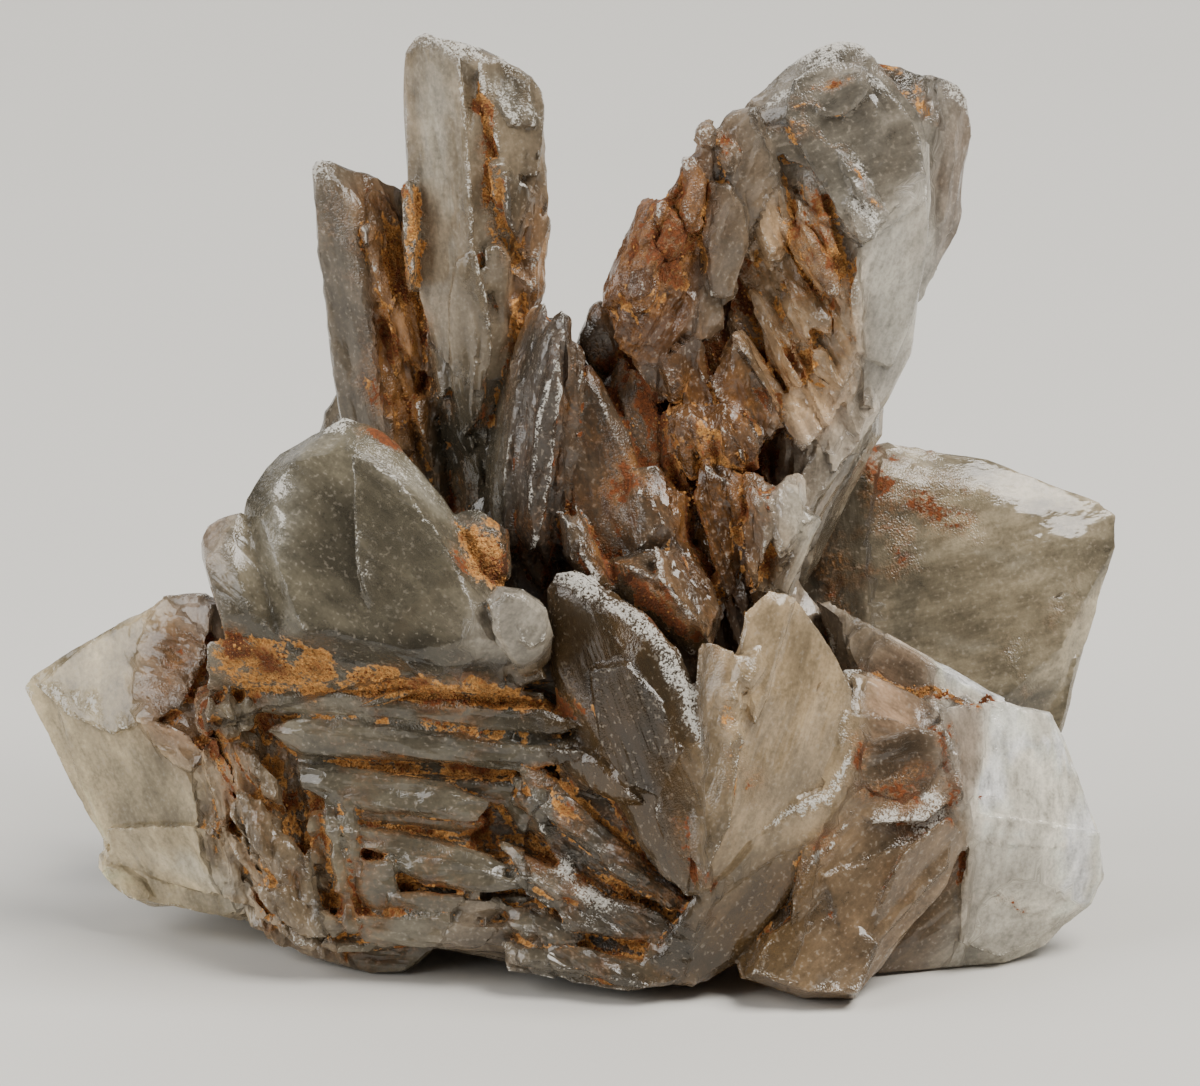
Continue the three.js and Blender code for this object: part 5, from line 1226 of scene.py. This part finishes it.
def clay_material(finish):
    """Dry iron-rich clay: dead matt, from sandy ochre to dark rust, grain by grain."""
    material, node = new_material("ochre_clay")
    place = node("ShaderNodeTexCoord").outputs["Object"]
    fine, broad = (
        node("ShaderNodeTexNoise", {"Vector": place, "Scale": 1 / (size * MM)})
        for size in CLAY_GRAINS
    )
    ochre = node("ShaderNodeMix", {0: fine, 6: finish.ochre, 7: finish.sand}, data_type="RGBA")
    rusty = node(
        "ShaderNodeMapRange",
        {0: broad, 1: RUSTY[0], 2: RUSTY[1]},
        interpolation_type="SMOOTHSTEP",
    )
    colour = node("ShaderNodeMix", {0: rusty, 6: ochre, 7: finish.rust}, data_type="RGBA")
    surface = node("ShaderNodeBsdfPrincipled", {"Base Color": colour, "Roughness": 0.92})
    node("ShaderNodeOutputMaterial", {"Surface": surface})
    return material


def stage_material(colour):
    """Matt pale paper, with the faintest mottling."""
    material, node = new_material("studio_paper")
    place = node("ShaderNodeTexCoord").outputs["Object"]
    mottle = node("ShaderNodeTexNoise", {"Vector": place, "Scale": 30.0})
    darker = [0.97 * share for share in colour]
    mixed = node("ShaderNodeMix", {0: mottle, 6: colour, 7: darker}, data_type="RGBA")
    surface = node("ShaderNodeBsdfPrincipled", {"Base Color": mixed, "Roughness": 0.7})
    node("ShaderNodeOutputMaterial", {"Surface": surface})
    return material


# ---------------------------------------------------------------- settings


def length(name, description, default):
    """A length in metres that the user may set."""
    return FloatProperty(
        name=name, description=description, default=default, min=0.0, unit="LENGTH", precision=5
    )


def tone(name, description, hex_colour):
    """A colour that the user may set."""
    return FloatVectorProperty(
        name=name,
        description=description,
        default=linear(hex_colour),
        size=3,
        min=0.0,
        max=1.0,
        subtype="COLOR",
    )


class CrystalSettings(bpy.types.PropertyGroup):
    """Sizes of the crystals' relief."""

    fineness: length("Fineness", "Size of the fine mesh's cells", 0.00032)
    most_triangles: IntProperty(
        name="Triangles", description="Most triangles in the crystals", default=188000
    )
    seam_rounds: IntProperty(
        name="Seam rounds", description="How far out seams and ridges are felt", default=10
    )
    step_depth: length("Step depth", "Height of the growth steps on the faces", 0.0005)
    pit_depth: length("Pit depth", "Depth of the pits in the rough faces", 0.0006)
    chip_depth: length("Chip depth", "Depth of the chips along the edges", 0.0003)
    clay_depth: length("Clay depth", "How proud the clay stands", 0.00018)


class BladeSettings(bpy.types.PropertyGroup):
    """Sizes of the small blades."""

    spacing: length("Spacing", "Least gap between small blades", 0.0011)
    shortest: length("Shortest", "Length of the shortest small blade", 0.0012)
    longest: length("Longest", "Length of the longest small blade", 0.0042)
    lift: FloatProperty(
        name="Lift",
        description="How far the small blades' tips lift off the face",
        default=math.radians(7),
        subtype="ANGLE",
    )
    seed: IntProperty(name="Seed", description="Picks the scatter", default=7)


class CrumbSettings(bpy.types.PropertyGroup):
    """Sizes of the loose clay."""

    spacing: length("Spacing", "Least gap between crumbs", 0.00038)
    smallest: length("Smallest", "Width of the smallest crumb", 0.00012)
    largest: length("Largest", "Width of the largest crumb", 0.0005)
    seed: IntProperty(name="Seed", description="Picks the scatter", default=11)


class FinishSettings(bpy.types.PropertyGroup):
    """Colours and optics."""

    milky: tone("Milky", "Cloudy crystal and growth lines", "#BDB3A4")
    clear: tone("Clear", "Tint at a clear face", "#A89D86")
    smoke: tone("Smoke", "Light that the crystal lets through", "#D2BF9C")
    iron_dark: tone("Dark iron film", "Crystal that iron has stained darkest", "#553417")
    iron_amber: tone("Amber film", "Crystal that iron has stained lightest", "#A8723A")
    ochre: tone("Ochre", "Clay in the seams", "#A2682C")
    sand: tone("Sand", "Palest clay", "#CF9B5A")
    rust: tone("Rust", "Darkest clay", "#713C18")
    # This white is also the colour of the painted highlights on the big lens, the tall tower and
    # the right disc's rim.
    frost: tone("Frost", "Bruised edges", "#DFDBD2")
    smoke_density: FloatProperty(
        name="Smoke density", description="Absorption, per metre", default=110.0, min=0.0
    )
    ior: FloatProperty(name="IOR", description="Selenite's refraction", default=1.52)


class StageSettings(bpy.types.PropertyGroup):
    """Floor, lights and camera."""

    paper: tone("Paper", "Floor", "#DAD8D3")
    room: tone("Room", "Light from all round", "#9FA3A8")
    camera_distance: length("Camera distance", "From the cluster's middle", 3.0)


SETTINGS = {
    "selenite_crystals": CrystalSettings,
    "selenite_blades": BladeSettings,
    "selenite_crumbs": CrumbSettings,
    "selenite_finish": FinishSettings,
    "selenite_stage": StageSettings,
}


# ---------------------------------------------------------------- operators


class SELENITE_OT_grow_crystals(bpy.types.Operator):
    """Weathers a fine copy of the packed solid and puts it in the solid's place"""

    bl_idname = "selenite.grow_crystals"
    bl_label = "Grow crystals"

    def execute(self, context):
        settings = context.scene.selenite_crystals
        solid = with_plates(packed_copy())
        solid_tree = tree_of(solid)
        tones = facet_tones(solid)
        cell = settings.fineness / MM * 1
        mesh = modified(solid, "REMESH", "crystals", mode="VOXEL", voxel_size=cell)
        largest_body(mesh)
        places, _ = read(mesh)
        write(mesh, np.array([solid_tree.find_nearest(Vector(place))[0] for place in places]))
        weather(mesh, solid_tree, settings)
        mesh = thinned(mesh, settings.most_triangles)
        places, _ = read(mesh)
        ridge, seam = (
            np.array([item.value for item in mesh.attributes[name].data])
            for name in ("ridge", "seam")
        )
        tone = tones[[solid_tree.find_nearest(Vector(place))[2] for place in places]]
        finish_fields(mesh, ridge, seam, tone, solid_tree, tree_of(mesh))
        mesh.transform(Matrix.Scale(MM, 4))
        mesh.shade_smooth()
        mesh.set_sharp_from_angle(angle=CREASE)
        mesh = modified(mesh, "WEIGHTED_NORMAL", "crystals", weight=80, keep_sharp=True)
        mesh.materials.clear()
        mesh.materials.append(selenite_material(context.scene.selenite_finish))
        crystals = shown("crystals", mesh)
        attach(crystals, BODY)
        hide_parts(SOLID)
        return {"FINISHED"}


class SELENITE_OT_grow_blades(bpy.types.Operator):
    """Sets small crisp blades, half sunk, in the rough faces of the crystals"""

    bl_idname = "selenite.grow_blades"
    bl_label = "Grow small blades"

    def execute(self, context):
        settings = context.scene.selenite_blades
        solid = with_plates(packed_copy())
        around = tree_of(solid)
        mesh = scattered(
            blade_host(solid, settings.lift),
            FIN_CORNERS,
            "fins",
            spacing=settings.spacing / MM,
            smallest=settings.shortest / MM,
            largest=settings.longest / MM,
            tumble=BLADE_TUMBLE,
            seed=settings.seed,
            material=bpy.data.objects["crystals"].data.materials[0],
        )
        copies = len(mesh.vertices) // len(FIN_CORNERS)
        rise = np.tile(np.array(FIN_CORNERS)[:, 2], copies)
        tones = np.random.default_rng(settings.seed).uniform(-1, 1, copies)
        finish_fields(
            mesh,
            0.8 * ramp(rise, 0.0, 0.5),
            ramp(-rise, -0.1, 0.3),
            np.repeat(tones, len(FIN_CORNERS)),
            around,
            around,
        )
        mesh.transform(Matrix.Scale(MM, 4))
        blades = shown("fins", mesh)
        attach(blades, BODY)
        return {"FINISHED"}


class SELENITE_OT_scatter_clay(bpy.types.Operator):
    """Scatters crumbs of clay where it has caked on the crystals"""

    bl_idname = "selenite.scatter_clay"
    bl_label = "Scatter clay"

    def execute(self, context):
        settings = context.scene.selenite_crumbs
        host = bpy.data.objects["crystals"].data.copy()
        host.transform(Matrix.Scale(1 / MM, 4))
        host.materials.clear()
        mesh = scattered(
            host,
            CRUMB_CORNERS,
            "clay",
            spacing=settings.spacing / MM,
            smallest=settings.smallest / MM,
            largest=settings.largest / MM,
            tumble=1.0,
            seed=settings.seed,
            material=clay_material(context.scene.selenite_finish),
        )
        mesh.transform(Matrix.Scale(MM, 4))
        clay = shown("clay", mesh)
        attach(clay, BODY)
        return {"FINISHED"}


class SELENITE_OT_set_stage(bpy.types.Operator):
    """Lays the floor, and sets the lights and the camera"""

    bl_idname = "selenite.set_stage"
    bl_label = "Set stage"

    def execute(self, context):
        settings = context.scene.selenite_stage
        reach = FLOOR_REACH
        corners = [(-reach, -reach, 0), (reach, -reach, 0), (reach, reach, 0), (-reach, reach, 0)]
        mesh = bpy.data.meshes.new("floor")
        mesh.from_pydata(corners, [], [(0, 1, 2, 3)])
        mesh.materials.append(stage_material(settings.paper))
        shown("floor", mesh)

        for name, place, size, power, colour in LAMPS:
            lamp = bpy.data.lights.new(name, "AREA")
            lamp.shape = "RECTANGLE"
            lamp.size, lamp.size_y = size
            lamp.energy = power
            lamp.color = linear(colour)
            held = bpy.data.objects.new(name, lamp)
            held.location = place
            aim = Vector(LAMP_AIM) - Vector(place)
            held.rotation_euler = aim.to_track_quat("-Z", "Y").to_euler()
            context.scene.collection.objects.link(held)

        world = bpy.data.worlds.new("room")
        world.use_nodes = True
        room = world.node_tree.nodes["Background"].inputs
        room["Color"].default_value = (*settings.room, 1.0)
        room["Strength"].default_value = ROOM_STRENGTH
        context.scene.world = world

        lens = bpy.data.cameras.new("view")
        lens.sensor_width = 36.0
        lens.lens = 36.0 * settings.camera_distance / MM / VIEW_WIDTH
        lens.clip_end = 10.0
        camera = bpy.data.objects.new("view", lens)
        stand = on_sheet(0.0, 0.0) + VIEW_MIDDLE * UP - settings.camera_distance / MM * AWAY
        camera.location = stand * MM
        camera.rotation_euler = (math.pi / 2 - SHEET_LEAN, 0.0, 0.0)
        context.scene.collection.objects.link(camera)
        context.scene.camera = camera
        return {"FINISHED"}


class SELENITE_PT_panel(bpy.types.Panel):
    """The cluster's settings and steps"""

    bl_label = "Selenite cluster"
    bl_idname = "SELENITE_PT_panel"
    bl_space_type = "VIEW_3D"
    bl_region_type = "UI"
    bl_category = "Selenite"

    def draw(self, context):
        for name, group in SETTINGS.items():
            section = self.layout.box()
            section.label(text=group.__doc__)
            for key in group.__annotations__:
                section.prop(getattr(context.scene, name), key)
        for step in STEPS:
            self.layout.operator(step.bl_idname)


STEPS = (
    SELENITE_OT_set_stage,
    SELENITE_OT_grow_crystals,
    SELENITE_OT_grow_blades,
    SELENITE_OT_scatter_clay,
)
CLASSES = (*SETTINGS.values(), *STEPS, SELENITE_PT_panel)


def register():
    for made in CLASSES:
        bpy.utils.register_class(made)
    for name, group in SETTINGS.items():
        setattr(bpy.types.Scene, name, PointerProperty(type=group))


def unregister():
    for name in SETTINGS:
        delattr(bpy.types.Scene, name)
    for made in reversed(CLASSES):
        bpy.utils.unregister_class(made)


def main():
    """Registers the add-on and runs its steps in order."""
    register()
    bpy.ops.selenite.set_stage()
    bpy.ops.selenite.grow_crystals()
    bpy.ops.selenite.grow_blades()
    bpy.ops.selenite.scatter_clay()
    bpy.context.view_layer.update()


if __name__ == "__main__":
    main()
